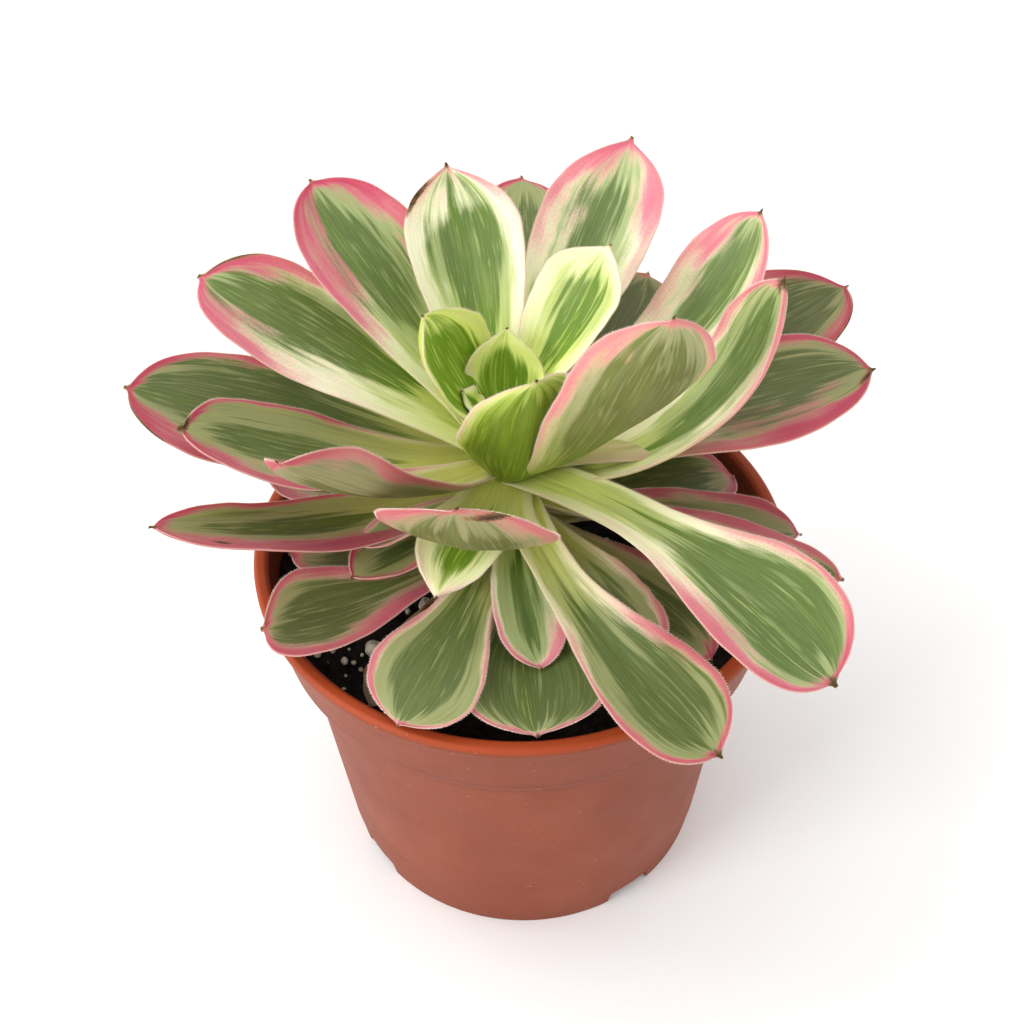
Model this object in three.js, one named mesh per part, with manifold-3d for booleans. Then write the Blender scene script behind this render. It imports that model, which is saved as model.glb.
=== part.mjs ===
// Potted succulent: a variegated rosette of spoon-shaped leaves on a short stem, in a nursery pot.
// Millimetres, +Z up. The origin is the middle of the pot's foot, on the floor. The front faces -Y.
import * as THREE from 'three';
import Module from 'manifold-3d';

const wasm = await Module();
wasm.setup();

// Driving dimensions of the pot.
const POT_HEIGHT = 98;
const RIM_RADIUS = 65;
const RIM_WIDTH = 3.5;
const RIM_DEPTH = 3;
const RIM_ROUNDING = 0.8;
const COLLAR_TOP_RADIUS = 63.8;
const COLLAR_FOOT_RADIUS = 60.7;
const COLLAR_HEIGHT = 20.5;
const COLLAR_ROUNDING = 0.6;
const BODY_TOP_RADIUS = 56.5;
const FOOT_RADIUS = 48.3;
const FOOT_LINE_HEIGHT = 7;
const FOOT_LINE_STEP = 0.4;
const FOOT_RING_WIDTH = 3;
const BOSS_RADIUS = 14;
const UNDERSIDE_SLOPE = 1;
const FLOOR_LIFT = 5;
const WALL = 1.6;
const POT_SIDES = 48;
const NOTCH_COUNT = 4;
const NOTCH_TURN = 34.5;
const NOTCH_HALF_ANGLE = 9;
const NOTCH_HEIGHT = 4.2;
const NOTCH_TAPER = 2;
const OVERCUT = 1;
const DRAIN_COUNT = 6;
const DRAIN_RADIUS = 4.5;
const DRAIN_RING_RADIUS = 32;
const DRAIN_SIDES = 12;

// Driving dimensions of the filling and the stem.
const GAP = 0.3;
const SOIL_HEIGHT = 88;
const SOIL_ROUGHNESS = 1.1;
const SOIL_RINGS = 5;
const SOIL_SIDES = 30;
const SOIL_SEED = 41;
const GRAIN_LIFT = 0.35;
const GRAIN_SHAPE = [1.1, 0.9, 0.75];
const GRAIN_SPIN = 3;
const STEM_FOOT = new THREE.Vector3(2, -2, 88);
const STEM_TIP = new THREE.Vector3(-4.5, 4, 135);
const STEM_DEPTH = 30;
const STEM_RADIUS = 7;
const STEM_TIP_RADIUS = 3;
const STEM_TAPER_START = 110;
const STEM_SIDES = 14;
const ROOT_SINK = 0.6;

// Shape shared by every leaf: a narrow neck, a broad blade and a short pointed tip. The blade is
// widest two thirds of the way out, nearer the middle on oval leaves and near the tip on blunt ones.
// Blunt leaves also stay narrow for longer before they flare.
const SPOON_WIDEST = 0.7;
const OVAL_WIDEST = 0.54;
const BLUNT_WIDEST = 0.8;
const OVAL_LEAVES = /^(heart_leaf_\d|inner_leaf_1|outer_leaf_1|small_leaf_3)$/;
const BLUNT_LEAVES = /^(lower_leaf_(6|8|11)|outer_leaf_(4|6))$/;
const BLUNT_FLARE = 4;
const NECK = 0.38;
const TIP_START = 0.985;
const TIP_SQUARENESS = 2.6;
const TIP_BLUNTNESS = 0.6;
const POINTED_LEAVES = /^(heart_leaf_[345]|inner_leaf_[478]|small_leaf_3)$/;
const POINTED_BLUNTNESS = 1;
const TIP_END = 0.04;
const TIP_SLOPE = 2.2;
const ROOT_THICKNESS = 2.2;
const BLADE_THICKNESS = 1.5;
const EDGE_SHARE = 0.55;
const WAVE_HEIGHT = 0.7;
const WAVE_COUNT = 2.5;
const WAVE_SEED = 7;
const BEND_POWER = 1.2;
const SPINE_STEPS = 100;
const STATIONS = [0, 0.2, 0.38, 0.54, 0.68, 0.79, 0.88, 0.94, 0.98, 1];
const ACROSS = [-1, -0.5, 0, 0.5, 1];

// Leaves from the lowest to the highest. Each row is: name, height of the root on the stem,
// turn about the stem, rise of the root, bend along the blade, sway to the side, length, width,
// roll at the tip and fold of the channel. Lengths are in mm and angles in degrees.
const LEAVES = [
  ['lower_leaf_1', 103, 19, 0, -10, 0, 54, 26, 0, 20],
  ['lower_leaf_2', 107, 165, 4, -8, 0, 60, 26, 0, 20],
  ['lower_leaf_3', 105, 80, 2, -8, 0, 60, 26, 0, 20],
  ['lower_leaf_4', 105, -44, -3, -8, 0, 56, 26, 0, 20],
  ['lower_leaf_5', 104, 187, 0, -10, 0, 52, 26, 0, 20],
  ['lower_leaf_6', 107, -87, -3, -10, 0, 59, 33, 0, 20],
  ['lower_leaf_7', 107, 40, 2, -8, 0, 62, 26, 0, 20],
  ['lower_leaf_8', 107, 233, 0, -8, -50, 66, 28, 0, 25],
  ['lower_leaf_9', 108, 112, 3, -8, 0, 60, 26, 0, 20],
  ['lower_leaf_10', 109, -6, -1, -10, 0, 65, 18, 0, 20],
  ['lower_leaf_11', 110, -105, 1, -22, -19, 63, 27, 0, 15],
  ['lower_leaf_12', 111, 148, 4, -8, 0, 62, 26, 0, 20],
  ['lower_leaf_13', 112, 64, 4, 0, 0, 84, 28, 0, 20],
  ['lower_leaf_14', 112, -18, -1, -10, 0, 76, 16, 0, 20],
  ['lower_leaf_15', 110, -58, -3, -5, 4, 52, 18, 0, 40],
  ['small_leaf_1', 112, 216, 1, -3, 0, 42, 18, 0, 40],
  ['small_leaf_2', 114, 213, 5, 0, 0, 38, 10, 0, 50],
  ['small_leaf_3', 115, -120, 6, -20, 8, 36, 21, 0, 30],
  ['small_leaf_4', 114, -89, 0, -28, 12, 47, 17, 0, 30],
  ['outer_leaf_1', 115, 206, -3, 36, -8, 84, 22, 10, 30],
  ['outer_leaf_2', 116, 87, 15, 0, 0, 93, 29, 0, 20],
  ['outer_leaf_3', 117, 27, 13, 0, 0, 94, 36, 0, 20],
  ['outer_leaf_4', 117, -81, 6, -28, 42, 87, 27, 0, 30],
  ['outer_leaf_5', 118, 175, 12, 5, 0, 88, 38, 0, 15],
  ['outer_leaf_6', 119, -44, 19, -44, -2, 93, 34, 0, 30],
  ['outer_leaf_7', 122, 3, 12, 5, 0, 84, 36, 0, 15],
  ['outer_leaf_8', 121, 197, 9, 25, -10, 75, 29, 0, 30],
  ['outer_leaf_9', 121, 229, 18, 38, -8, 76, 24, 45, 50],
  ['outer_leaf_10', 119, -106, -5, 90, 8, 60, 40, 0, 20],
  ['inner_leaf_1', 120, -40, 36, 48, 0, 77, 34, -50, 40],
  ['inner_leaf_2', 124, 160, 25, 0, 0, 79, 35, 0, 25],
  ['inner_leaf_3', 118, -20, 10, 80, 40, 88, 26, 0, 50],
  ['inner_leaf_4', 128, 61, 24, 5, 6, 83, 31, 0, 25],
  ['inner_leaf_5', 126, 134, 35, 0, 0, 75, 32, 0, 25],
  ['inner_leaf_6', 121, 25, 8, 55, 14, 84, 26, 0, 30],
  ['inner_leaf_7', 128, 104, 43, 0, 0, 64, 30, 0, 40],
  ['inner_leaf_8', 131, 44, 36, 15, 0, 47, 25, 0, 40],
  ['heart_leaf_1', 118, -76, 47, 50, 18, 47, 35, 0, 60],
  ['heart_leaf_2', 129, 165, 52, 22, -12, 34, 30, 0, 50],
  ['heart_leaf_3', 128, 190, 45, 20, 0, 19, 15, 0, 30],
  ['heart_leaf_4', 127, 84, 60, 12, 0, 25, 21, 0, 50],
  ['heart_leaf_5', 131, 175, 50, 15, 0, 12, 10, 0, 30],
];

// The dried leaf that lies on the soil, written like the rows above.
const DEAD_LEAF = ['dead_leaf', 99, -122, -12, 4, -14, 54, 20, 15, 45];

// Perlite grains on the soil: turn about the pot, distance from its middle and mean radius.
const GRAINS = [
  [-142, 44.5, 2.3],
  [-135, 45.5, 1.5],
  [-150, 27, 1.8],
  [-8, 33, 1.7],
  [30, 50, 2],
];

const FINISHES = {
  terracotta_plastic: [0xb4583c, 0.55],
  potting_soil: [0x16120f, 0.95],
  perlite: [0xe6dcc8, 0.9],
  stem_skin: [0x8fa35a, 0.7],
  leaf_outer: [0x6f8a45, 0.55],
  leaf_inner: [0x9dbb55, 0.5],
  leaf_dead: [0x8a5a3c, 0.85],
};

const radians = THREE.MathUtils.degToRad;
const lerp = THREE.MathUtils.lerp;
const clamp = THREE.MathUtils.clamp;

/** Smooth step from 0 to 1. */
function ease(value) {
  const t = clamp(value, 0, 1);
  return t * t * (3 - 2 * t);
}

/** Seeded random numbers between 0 and 1. */
function seeded(seed) {
  let state = seed;
  return () => {
    state = (state * 1664525 + 1013904223) % 4294967296;
    return state / 4294967296;
  };
}

/** A closed solid from points and faces. */
function solidFrom(points, faces) {
  const mesh = new wasm.Mesh({
    numProp: 3,
    vertProperties: new Float32Array(points.flatMap((p) => [p.x, p.y, p.z])),
    triVerts: new Uint32Array(faces.flat()),
  });
  return new wasm.Manifold(mesh);
}

/** Faces that join two rings of points, where the ring is closed. */
function bandFaces(first, second, count) {
  const faces = [];
  for (let i = 0; i < count; i += 1) {
    const j = (i + 1) % count;
    faces.push([first + i, first + j, second + j]);
    faces.push([first + i, second + j, second + i]);
  }
  return faces;
}

/** A solid through a stack of closed rings, each anticlockwise from above, with flat ends. */
function stackedSolid(rings) {
  const count = rings[0].length;
  const points = rings.flat();
  const faces = [];
  for (let k = 0; k + 1 < rings.length; k += 1) {
    faces.push(...bandFaces(k * count, (k + 1) * count, count));
  }
  const bottom = points.length;
  const middle = (end) => end.reduce((sum, p) => sum.add(p), new THREE.Vector3()).divideScalar(count);
  points.push(middle(rings[0]), middle(rings[rings.length - 1]));
  const top = (rings.length - 1) * count;
  for (let i = 0; i < count; i += 1) {
    const j = (i + 1) % count;
    faces.push([bottom, j, i]);
    faces.push([bottom + 1, top + i, top + j]);
  }
  return solidFrom(points, faces);
}

/** A ring of points about an upright axis. */
function ring(centre, radius, height, sides) {
  return Array.from({ length: sides }, (unused, i) => {
    const angle = (2 * Math.PI * i) / sides;
    return new THREE.Vector3(
      centre.x + radius * Math.cos(angle),
      centre.y + radius * Math.sin(angle),
      height,
    );
  });
}

/** A solid turned from [radius, height] points that start and end on the axis. */
function turned(profile, sides) {
  const points = profile.map(([r, z]) => new THREE.Vector2(r, z));
  const lathe = new THREE.LatheGeometry(points, sides);
  lathe.rotateX(Math.PI / 2);
  const position = lathe.getAttribute('position');
  const index = lathe.getIndex();
  const mesh = new wasm.Mesh({
    numProp: 3,
    vertProperties: new Float32Array(position.array),
    triVerts: new Uint32Array(index.array),
  });
  mesh.merge();
  return new wasm.Manifold(mesh);
}

/** Radius of the outside of the pot's body at a height. */
function bodyRadius(height) {
  return lerp(FOOT_RADIUS, BODY_TOP_RADIUS, height / (POT_HEIGHT - COLLAR_HEIGHT));
}

/** Radius of the inside of the pot at a height. */
function insideRadius(height) {
  const ledge = POT_HEIGHT - COLLAR_HEIGHT + WALL;
  if (height < ledge) return bodyRadius(height) - WALL;
  const share = (height - ledge) / (POT_HEIGHT - ledge);
  return lerp(COLLAR_FOOT_RADIUS - WALL, RIM_RADIUS - RIM_WIDTH, share);
}

/** One notch in the foot, wider at the floor than at its top. */
function footNotch(turn) {
  const corners = (height, half) => [
    [FOOT_RADIUS - 2 * FOOT_RING_WIDTH, -half],
    [FOOT_RADIUS + 2 * FOOT_RING_WIDTH, -half],
    [FOOT_RADIUS + 2 * FOOT_RING_WIDTH, half],
    [FOOT_RADIUS - 2 * FOOT_RING_WIDTH, half],
  ].map(([r, a]) => {
    const angle = radians(turn + a);
    return new THREE.Vector3(r * Math.cos(angle), r * Math.sin(angle), height);
  });
  return stackedSolid([
    corners(-OVERCUT, NOTCH_HALF_ANGLE),
    corners(NOTCH_HEIGHT / 2, NOTCH_HALF_ANGLE),
    corners(NOTCH_HEIGHT, NOTCH_HALF_ANGLE - NOTCH_TAPER),
  ]);
}

/** The nursery pot: foot ring, middle boss, tapered body, collar and rim, open at the top. */
function makePot() {
  const top = POT_HEIGHT;
  const ledge = top - COLLAR_HEIGHT;
  const floor = FLOOR_LIFT + WALL;
  const footInside = FOOT_RADIUS - FOOT_RING_WIDTH;
  const footLine = bodyRadius(FOOT_LINE_HEIGHT);
  const profile = [
    [0, 0],
    [BOSS_RADIUS, 0],
    [BOSS_RADIUS + UNDERSIDE_SLOPE, FLOOR_LIFT],
    [footInside - UNDERSIDE_SLOPE, FLOOR_LIFT],
    [footInside, 0],
    [FOOT_RADIUS, 0],
    [footLine, FOOT_LINE_HEIGHT],
    [footLine + FOOT_LINE_STEP, FOOT_LINE_HEIGHT + FOOT_LINE_STEP],
    [BODY_TOP_RADIUS, ledge],
    [COLLAR_FOOT_RADIUS - COLLAR_ROUNDING, ledge],
    [COLLAR_FOOT_RADIUS, ledge + COLLAR_ROUNDING],
    [COLLAR_TOP_RADIUS, top - RIM_DEPTH],
    [RIM_RADIUS - RIM_ROUNDING / 2, top - RIM_DEPTH],
    [RIM_RADIUS, top - RIM_DEPTH + RIM_ROUNDING],
    [RIM_RADIUS, top - RIM_ROUNDING],
    [RIM_RADIUS - RIM_ROUNDING, top],
    [RIM_RADIUS - RIM_WIDTH + RIM_ROUNDING, top],
    [insideRadius(top - RIM_ROUNDING), top - RIM_ROUNDING],
    [insideRadius(ledge + WALL), ledge + WALL],
    [BODY_TOP_RADIUS - WALL, ledge + WALL],
    [bodyRadius(floor) - WALL, floor],
    [0, floor],
  ];
  let pot = turned(profile, POT_SIDES);
  for (let i = 0; i < NOTCH_COUNT; i += 1) {
    pot = pot.subtract(footNotch(NOTCH_TURN + (360 / NOTCH_COUNT) * i));
  }
  for (let i = 0; i < DRAIN_COUNT; i += 1) {
    const angle = radians((360 / DRAIN_COUNT) * i);
    const centre = new THREE.Vector3(Math.cos(angle), Math.sin(angle), 0);
    centre.multiplyScalar(DRAIN_RING_RADIUS);
    const ends = [FLOOR_LIFT - OVERCUT, floor + OVERCUT];
    const drill = ends.map((height) => ring(centre, DRAIN_RADIUS, height, DRAIN_SIDES));
    pot = pot.subtract(stackedSolid(drill));
  }
  return pot;
}

/** Middle of the stem at a height. */
function stemAxis(height) {
  const share = (height - STEM_FOOT.z) / (STEM_TIP.z - STEM_FOOT.z);
  return new THREE.Vector3().lerpVectors(STEM_FOOT, STEM_TIP, share);
}

/** Radius of the stem at a height. */
function stemRadius(height) {
  const share = (height - STEM_TAPER_START) / (STEM_TIP.z - STEM_TAPER_START);
  return lerp(STEM_RADIUS, STEM_TIP_RADIUS, clamp(share, 0, 1));
}

/** The stem, or its clearance when it is grown. */
function makeStem(grown = 0) {
  const heights = [STEM_FOOT.z - STEM_DEPTH - grown, STEM_TAPER_START, STEM_TIP.z + grown];
  const sides = heights.map((z) => ring(stemAxis(z), stemRadius(z) + grown, z, STEM_SIDES));
  return stackedSolid(sides);
}

/** One perlite grain, or its clearance when it is grown. */
function makeGrain([turn, distance, radius], grown = 0) {
  const geometry = new THREE.IcosahedronGeometry(radius + grown, 1);
  geometry.scale(...GRAIN_SHAPE);
  geometry.rotateZ(radians(GRAIN_SPIN * turn));
  geometry.translate(
    distance * Math.cos(radians(turn)),
    distance * Math.sin(radians(turn)),
    SOIL_HEIGHT + GRAIN_LIFT * radius,
  );
  const mesh = new wasm.Mesh({
    numProp: 3,
    vertProperties: new Float32Array(geometry.getAttribute('position').array),
    triVerts: new Uint32Array(geometry.getAttribute('position').count).map((unused, i) => i),
  });
  mesh.merge();
  return new wasm.Manifold(mesh);
}

/** The potting soil, with an uneven top, a hole for the stem and sockets for the grains. */
function makeSoil() {
  const random = seeded(SOIL_SEED);
  const floor = FLOOR_LIFT + WALL + GAP;
  const ledge = POT_HEIGHT - COLLAR_HEIGHT + WALL;
  const origin = new THREE.Vector3();
  const edge = (height) => ring(origin, insideRadius(height) - GAP, height, SOIL_SIDES);
  const shoulder = ring(origin, BODY_TOP_RADIUS - WALL - GAP, ledge + GAP, SOIL_SIDES);
  const rings = [edge(floor), shoulder, edge(ledge + GAP), edge(SOIL_HEIGHT)];
  for (let k = 1; k < SOIL_RINGS; k += 1) {
    const radius = (insideRadius(SOIL_HEIGHT) - GAP) * (1 - k / SOIL_RINGS);
    const crumbs = ring(origin, radius, SOIL_HEIGHT, SOIL_SIDES);
    crumbs.forEach((p) => {
      p.z += SOIL_ROUGHNESS * (2 * random() - 1);
    });
    rings.push(crumbs);
  }
  const soil = stackedSolid(rings).subtract(makeStem(GAP));
  return GRAINS.reduce((rest, grain) => rest.subtract(makeGrain(grain, GAP)), soil);
}

/** Where a leaf is widest, as a share of its length. */
function widestShare(name) {
  if (OVAL_LEAVES.test(name)) return OVAL_WIDEST;
  return BLUNT_LEAVES.test(name) ? BLUNT_WIDEST : SPOON_WIDEST;
}

/** Half width of a leaf along its length, as a share of its widest. */
function outline(name, t) {
  const widest = widestShare(name);
  const beyond = clamp((t - widest) / (TIP_START - widest), 0, 1);
  const bluntness = POINTED_LEAVES.test(name) ? POINTED_BLUNTNESS : TIP_BLUNTNESS;
  const rounded = (1 - beyond ** TIP_SQUARENESS) ** bluntness;
  const tip = TIP_END + TIP_SLOPE * (1 - t);
  const opening = ease(t / widest) ** (BLUNT_LEAVES.test(name) ? BLUNT_FLARE : 1);
  return t < widest ? lerp(NECK, 1, opening) : Math.max(rounded, Math.min(tip, 1));
}

/** Middle line of a leaf, with the directions to its side and out of its face. */
function leafSpine(leaf) {
  const turn = radians(leaf.turn);
  const outward = new THREE.Vector3(Math.cos(turn), Math.sin(turn), 0);
  const reach = ROOT_SINK * stemRadius(leaf.root);
  const point = stemAxis(leaf.root).addScaledVector(outward, reach);
  const frames = [];
  for (let i = 0; i <= SPINE_STEPS; i += 1) {
    const t = i / SPINE_STEPS;
    const rise = radians(leaf.rise + leaf.bend * t ** BEND_POWER);
    const heading = radians(leaf.turn + leaf.sway * t);
    const along = new THREE.Vector3(
      Math.cos(rise) * Math.cos(heading),
      Math.cos(rise) * Math.sin(heading),
      Math.sin(rise),
    );
    const side = new THREE.Vector3(-Math.sin(heading), Math.cos(heading), 0);
    side.applyAxisAngle(along, radians(leaf.roll) * ease(t));
    if (i > 0) point.addScaledVector(along, leaf.length / SPINE_STEPS);
    frames.push({ point: point.clone(), side, face: along.clone().cross(side) });
  }
  return frames;
}

/** A leaf blade as a closed solid, or its clearance when it is grown. */
function makeBlade(leaf, grown = 0) {
  const spine = leafSpine(leaf);
  const fold = radians(leaf.fold);
  const upper = [];
  const lower = [];
  STATIONS.forEach((t) => {
    const { point, side, face } = spine[Math.round(t * SPINE_STEPS)];
    const half = (leaf.width / 2) * outline(leaf.name, t) + grown;
    const middle = lerp(ROOT_THICKNESS, BLADE_THICKNESS, ease(2 * t));
    ACROSS.forEach((u) => {
      const angle = fold * u;
      const wave = WAVE_HEIGHT * t * u * u * Math.sin(2 * Math.PI * WAVE_COUNT * t + leaf.phase + u);
      const place = point.clone()
        .addScaledVector(side, (half * Math.sin(angle)) / fold)
        .addScaledVector(face, (half * (1 - Math.cos(angle))) / fold + wave);
      const normal = face.clone().multiplyScalar(Math.cos(angle)).addScaledVector(side, -Math.sin(angle));
      const thickness = middle * lerp(1, EDGE_SHARE, u * u) + 2 * grown;
      upper.push(place.clone().addScaledVector(normal, thickness / 2));
      lower.push(place.clone().addScaledVector(normal, -thickness / 2));
    });
  });
  return bladeSolid(upper, lower);
}

/** Joins the two faces of a blade along its margins, with the same diagonals on both. */
function bladeSolid(upper, lower) {
  const columns = ACROSS.length;
  const rows = STATIONS.length;
  const under = upper.length;
  const faces = [];
  const quad = (a, b, c, d) => faces.push([a, b, c], [a, c, d]);
  for (let r = 0; r + 1 < rows; r += 1) {
    for (let c = 0; c + 1 < columns; c += 1) {
      const a = r * columns + c;
      const b = a + columns;
      quad(a, b, b + 1, a + 1);
      faces.push([under + a, under + b + 1, under + b], [under + a, under + a + 1, under + b + 1]);
    }
    const left = r * columns;
    const right = left + columns - 1;
    quad(left, under + left, under + left + columns, left + columns);
    quad(right + columns, under + right + columns, under + right, right);
  }
  for (let c = 0; c + 1 < columns; c += 1) {
    const tip = (rows - 1) * columns + c;
    quad(c + 1, under + c + 1, under + c, c);
    quad(tip, under + tip, under + tip + 1, tip + 1);
  }
  return solidFrom([...upper, ...lower], faces);
}

/** The largest piece of a solid. */
function largestBody(solid) {
  const bodies = solid.decompose();
  return bodies.reduce((best, body) => (body.volume() > best.volume() ? body : best));
}

/** Whether two solids come within reach of each other. */
function near(first, second) {
  const a = first.boundingBox();
  const b = second.boundingBox();
  return [0, 1, 2].every((k) => a.min[k] < b.max[k] && b.min[k] < a.max[k]);
}

/** Names the values in a leaf's row. */
function readLeaf(row) {
  const columns = ['name', 'root', 'turn', 'rise', 'bend', 'sway', 'length', 'width', 'roll', 'fold'];
  return Object.fromEntries(columns.map((column, i) => [column, row[i]]));
}

/** Leaves from the heart outward, each trimmed clear of the stem and of the leaves above it. */
function makeLeaves() {
  const random = seeded(WAVE_SEED);
  const leaves = [DEAD_LEAF, ...LEAVES].map((row) => ({ ...readLeaf(row), phase: 2 * Math.PI * random() }));
  const clearances = [makeStem(GAP)];
  return leaves.reverse().map((leaf) => {
    let solid = makeBlade(leaf);
    clearances.filter((other) => near(solid, other)).forEach((other) => {
      solid = solid.subtract(other);
    });
    clearances.push(makeBlade(leaf, GAP));
    return { name: leaf.name, solid: largestBody(solid) };
  });
}

/** Turns a solid into a named mesh with its own material. */
function toMesh(name, solid, finish) {
  const { numProp, vertProperties, triVerts } = solid.getMesh();
  const points = [];
  triVerts.forEach((v) => {
    points.push(...vertProperties.slice(v * numProp, v * numProp + 3));
  });
  const geometry = new THREE.BufferGeometry();
  geometry.setAttribute('position', new THREE.Float32BufferAttribute(points, 3));
  geometry.computeVertexNormals();
  const [color, roughness] = FINISHES[finish];
  const material = new THREE.MeshStandardMaterial({ name: finish, color, roughness, metalness: 0 });
  const mesh = new THREE.Mesh(geometry, material);
  mesh.name = name;
  return mesh;
}

/** The finish of a leaf, by its whorl. */
function leafFinish(name) {
  if (name === 'dead_leaf') return 'leaf_dead';
  return /^(heart|inner)/.test(name) ? 'leaf_inner' : 'leaf_outer';
}

const plant = new THREE.Group();
plant.name = 'potted_succulent';
plant.add(toMesh('pot', makePot(), 'terracotta_plastic'));
plant.add(toMesh('soil', makeSoil(), 'potting_soil'));
plant.add(toMesh('stem', makeStem(), 'stem_skin'));
GRAINS.forEach((grain, i) => {
  plant.add(toMesh(`perlite_grain_${i + 1}`, makeGrain(grain), 'perlite'));
});
makeLeaves().forEach(({ name, solid }) => {
  plant.add(toMesh(name, solid, leafFinish(name)));
});

export default plant;
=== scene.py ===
"""Potted succulent, dressed for rendering: a variegated rosette in a moulded nursery pot.

Metres, +Z up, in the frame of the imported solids. Sizes in the classes are in millimetres and
angles in degrees, and MM turns the first into metres as a mesh is made.
"""

import logging
import math
import re
from collections.abc import Iterator, Sequence
from dataclasses import dataclass, field
from enum import Enum

import bpy
import numpy as np
from mathutils import Matrix, Vector, noise


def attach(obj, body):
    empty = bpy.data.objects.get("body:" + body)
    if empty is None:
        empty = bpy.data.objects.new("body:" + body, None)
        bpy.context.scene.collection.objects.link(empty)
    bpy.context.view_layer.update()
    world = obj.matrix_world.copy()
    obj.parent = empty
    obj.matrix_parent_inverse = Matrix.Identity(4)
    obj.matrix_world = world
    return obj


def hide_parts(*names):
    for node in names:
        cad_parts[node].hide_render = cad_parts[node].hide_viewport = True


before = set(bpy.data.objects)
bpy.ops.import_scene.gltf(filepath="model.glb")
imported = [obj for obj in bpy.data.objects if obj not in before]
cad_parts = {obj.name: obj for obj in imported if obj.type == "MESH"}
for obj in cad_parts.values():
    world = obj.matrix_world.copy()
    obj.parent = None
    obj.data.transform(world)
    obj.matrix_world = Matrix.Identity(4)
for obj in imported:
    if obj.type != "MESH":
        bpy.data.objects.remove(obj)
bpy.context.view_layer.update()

MM = 0.001
UV_REACH = 100.0
WAVE_SEED = 7
LOG = logging.getLogger("potted_succulent")

# The solids' random draws: each state is the last one times FACTOR plus STEP, modulo RANGE.
DRAW_FACTOR, DRAW_STEP, DRAW_RANGE = 1664525, 1013904223, 4294967296

Colour = tuple[float, float, float, float]
Form = tuple[np.ndarray, list[tuple[int, ...]]]
Piece = bpy.types.Object
Socket = bpy.types.NodeSocket
Tree = bpy.types.NodeTree


# ---------------------------------------------------------------- small helpers


def srgb(red: int, green: int, blue: int) -> Colour:
    """Linear colour of three display values from 0 to 255."""
    shares = (value / 255 for value in (red, green, blue))
    linear = [s / 12.92 if s <= 0.04045 else ((s + 0.055) / 1.055) ** 2.4 for s in shares]
    return (linear[0], linear[1], linear[2], 1.0)


def ease(value: np.ndarray | float) -> np.ndarray:
    """Smooth step from 0 to 1."""
    t = np.clip(value, 0.0, 1.0)
    return t * t * (3 - 2 * t)


def lerp(first: float, second: float, share: np.ndarray | float) -> np.ndarray | float:
    """Value at a share of the way from first to second."""
    return first + (second - first) * share


def wave_phases(seed: int) -> Iterator[float]:
    """Endless phases for the waves of the leaves, in the order that the solids draw them."""
    state = seed
    while True:
        state = (state * DRAW_FACTOR + DRAW_STEP) % DRAW_RANGE
        yield 2 * math.pi * (state / DRAW_RANGE)


def polar(distance: float, turn: float) -> tuple[float, float]:
    """Place at a distance from the pot's axis and a turn in degrees."""
    return distance * math.cos(math.radians(turn)), distance * math.sin(math.radians(turn))


def deselect_all() -> None:
    """Leaves object mode with nothing selected."""
    if bpy.context.object and bpy.context.object.mode != "OBJECT":
        bpy.ops.object.mode_set(mode="OBJECT")
    bpy.ops.object.select_all(action="DESELECT")


def take_new(name: str) -> Piece:
    """Names the primitive that was just added.

    Args:
        name: name for the object and its mesh.

    Returns:
        The object, selected and active.
    """
    piece = bpy.context.object
    piece.name = piece.data.name = name
    return piece


def apply_modifier(piece: Piece, kind: str, **settings: object) -> None:
    """Adds one modifier to a piece and applies it.

    Args:
        piece: the object to shape.
        kind: Blender's modifier type.
        settings: values for the modifier's own properties.
    """
    bpy.context.view_layer.objects.active = piece
    modifier = piece.modifiers.new(kind.lower(), kind)
    for key, value in settings.items():
        setattr(modifier, key, value)
    bpy.ops.object.modifier_apply(modifier=modifier.name)


def place_in_mesh(piece: Piece) -> None:
    """Moves an object's place, turn and scale into its mesh."""
    deselect_all()
    piece.select_set(True)
    bpy.context.view_layer.objects.active = piece
    bpy.ops.object.transform_apply(location=True, rotation=True, scale=True)


def join_pieces(target: Piece, other: Piece) -> None:
    """Joins another object into a target object."""
    deselect_all()
    other.select_set(True)
    target.select_set(True)
    bpy.context.view_layer.objects.active = target
    bpy.ops.object.join()


def extrude_ring(last: tuple[float, float], new: tuple[float, float]) -> None:
    """Draws the selected ring of edges on.

    Args:
        last: the ring's radius and height in mm.
        new: the radius and height that it is drawn to.
    """
    rise = (new[1] - last[1]) * MM
    bpy.ops.mesh.extrude_edges_move(TRANSFORM_OT_translate={"value": (0, 0, rise)})
    share = new[0] / last[0]
    bpy.ops.transform.resize(value=(share, share, 1), center_override=(0, 0, new[1] * MM))


def read_points(mesh: bpy.types.Mesh) -> np.ndarray:
    """Vertex places of a mesh as rows of three."""
    flat = np.empty(len(mesh.vertices) * 3, dtype=np.float32)
    mesh.vertices.foreach_get("co", flat)
    return flat.reshape(-1, 3).astype(float)


def write_points(mesh: bpy.types.Mesh, points: np.ndarray) -> None:
    """Moves a mesh's vertices to new places."""
    mesh.vertices.foreach_set("co", points.astype(np.float32).ravel())
    mesh.update()


def write_attribute(mesh: bpy.types.Mesh, name: str, values: np.ndarray) -> None:
    """Stores one number for each vertex under a name that materials read."""
    layer = mesh.attributes.new(name, "FLOAT", "POINT")
    layer.data.foreach_set("value", np.asarray(values, dtype=np.float32))


def read_form(piece: Piece) -> Form:
    """Points and faces of a piece that is modelled once for its copies, and then removed."""
    form = read_points(piece.data), [tuple(polygon.vertices) for polygon in piece.data.polygons]
    bpy.data.objects.remove(piece)
    return form


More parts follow.
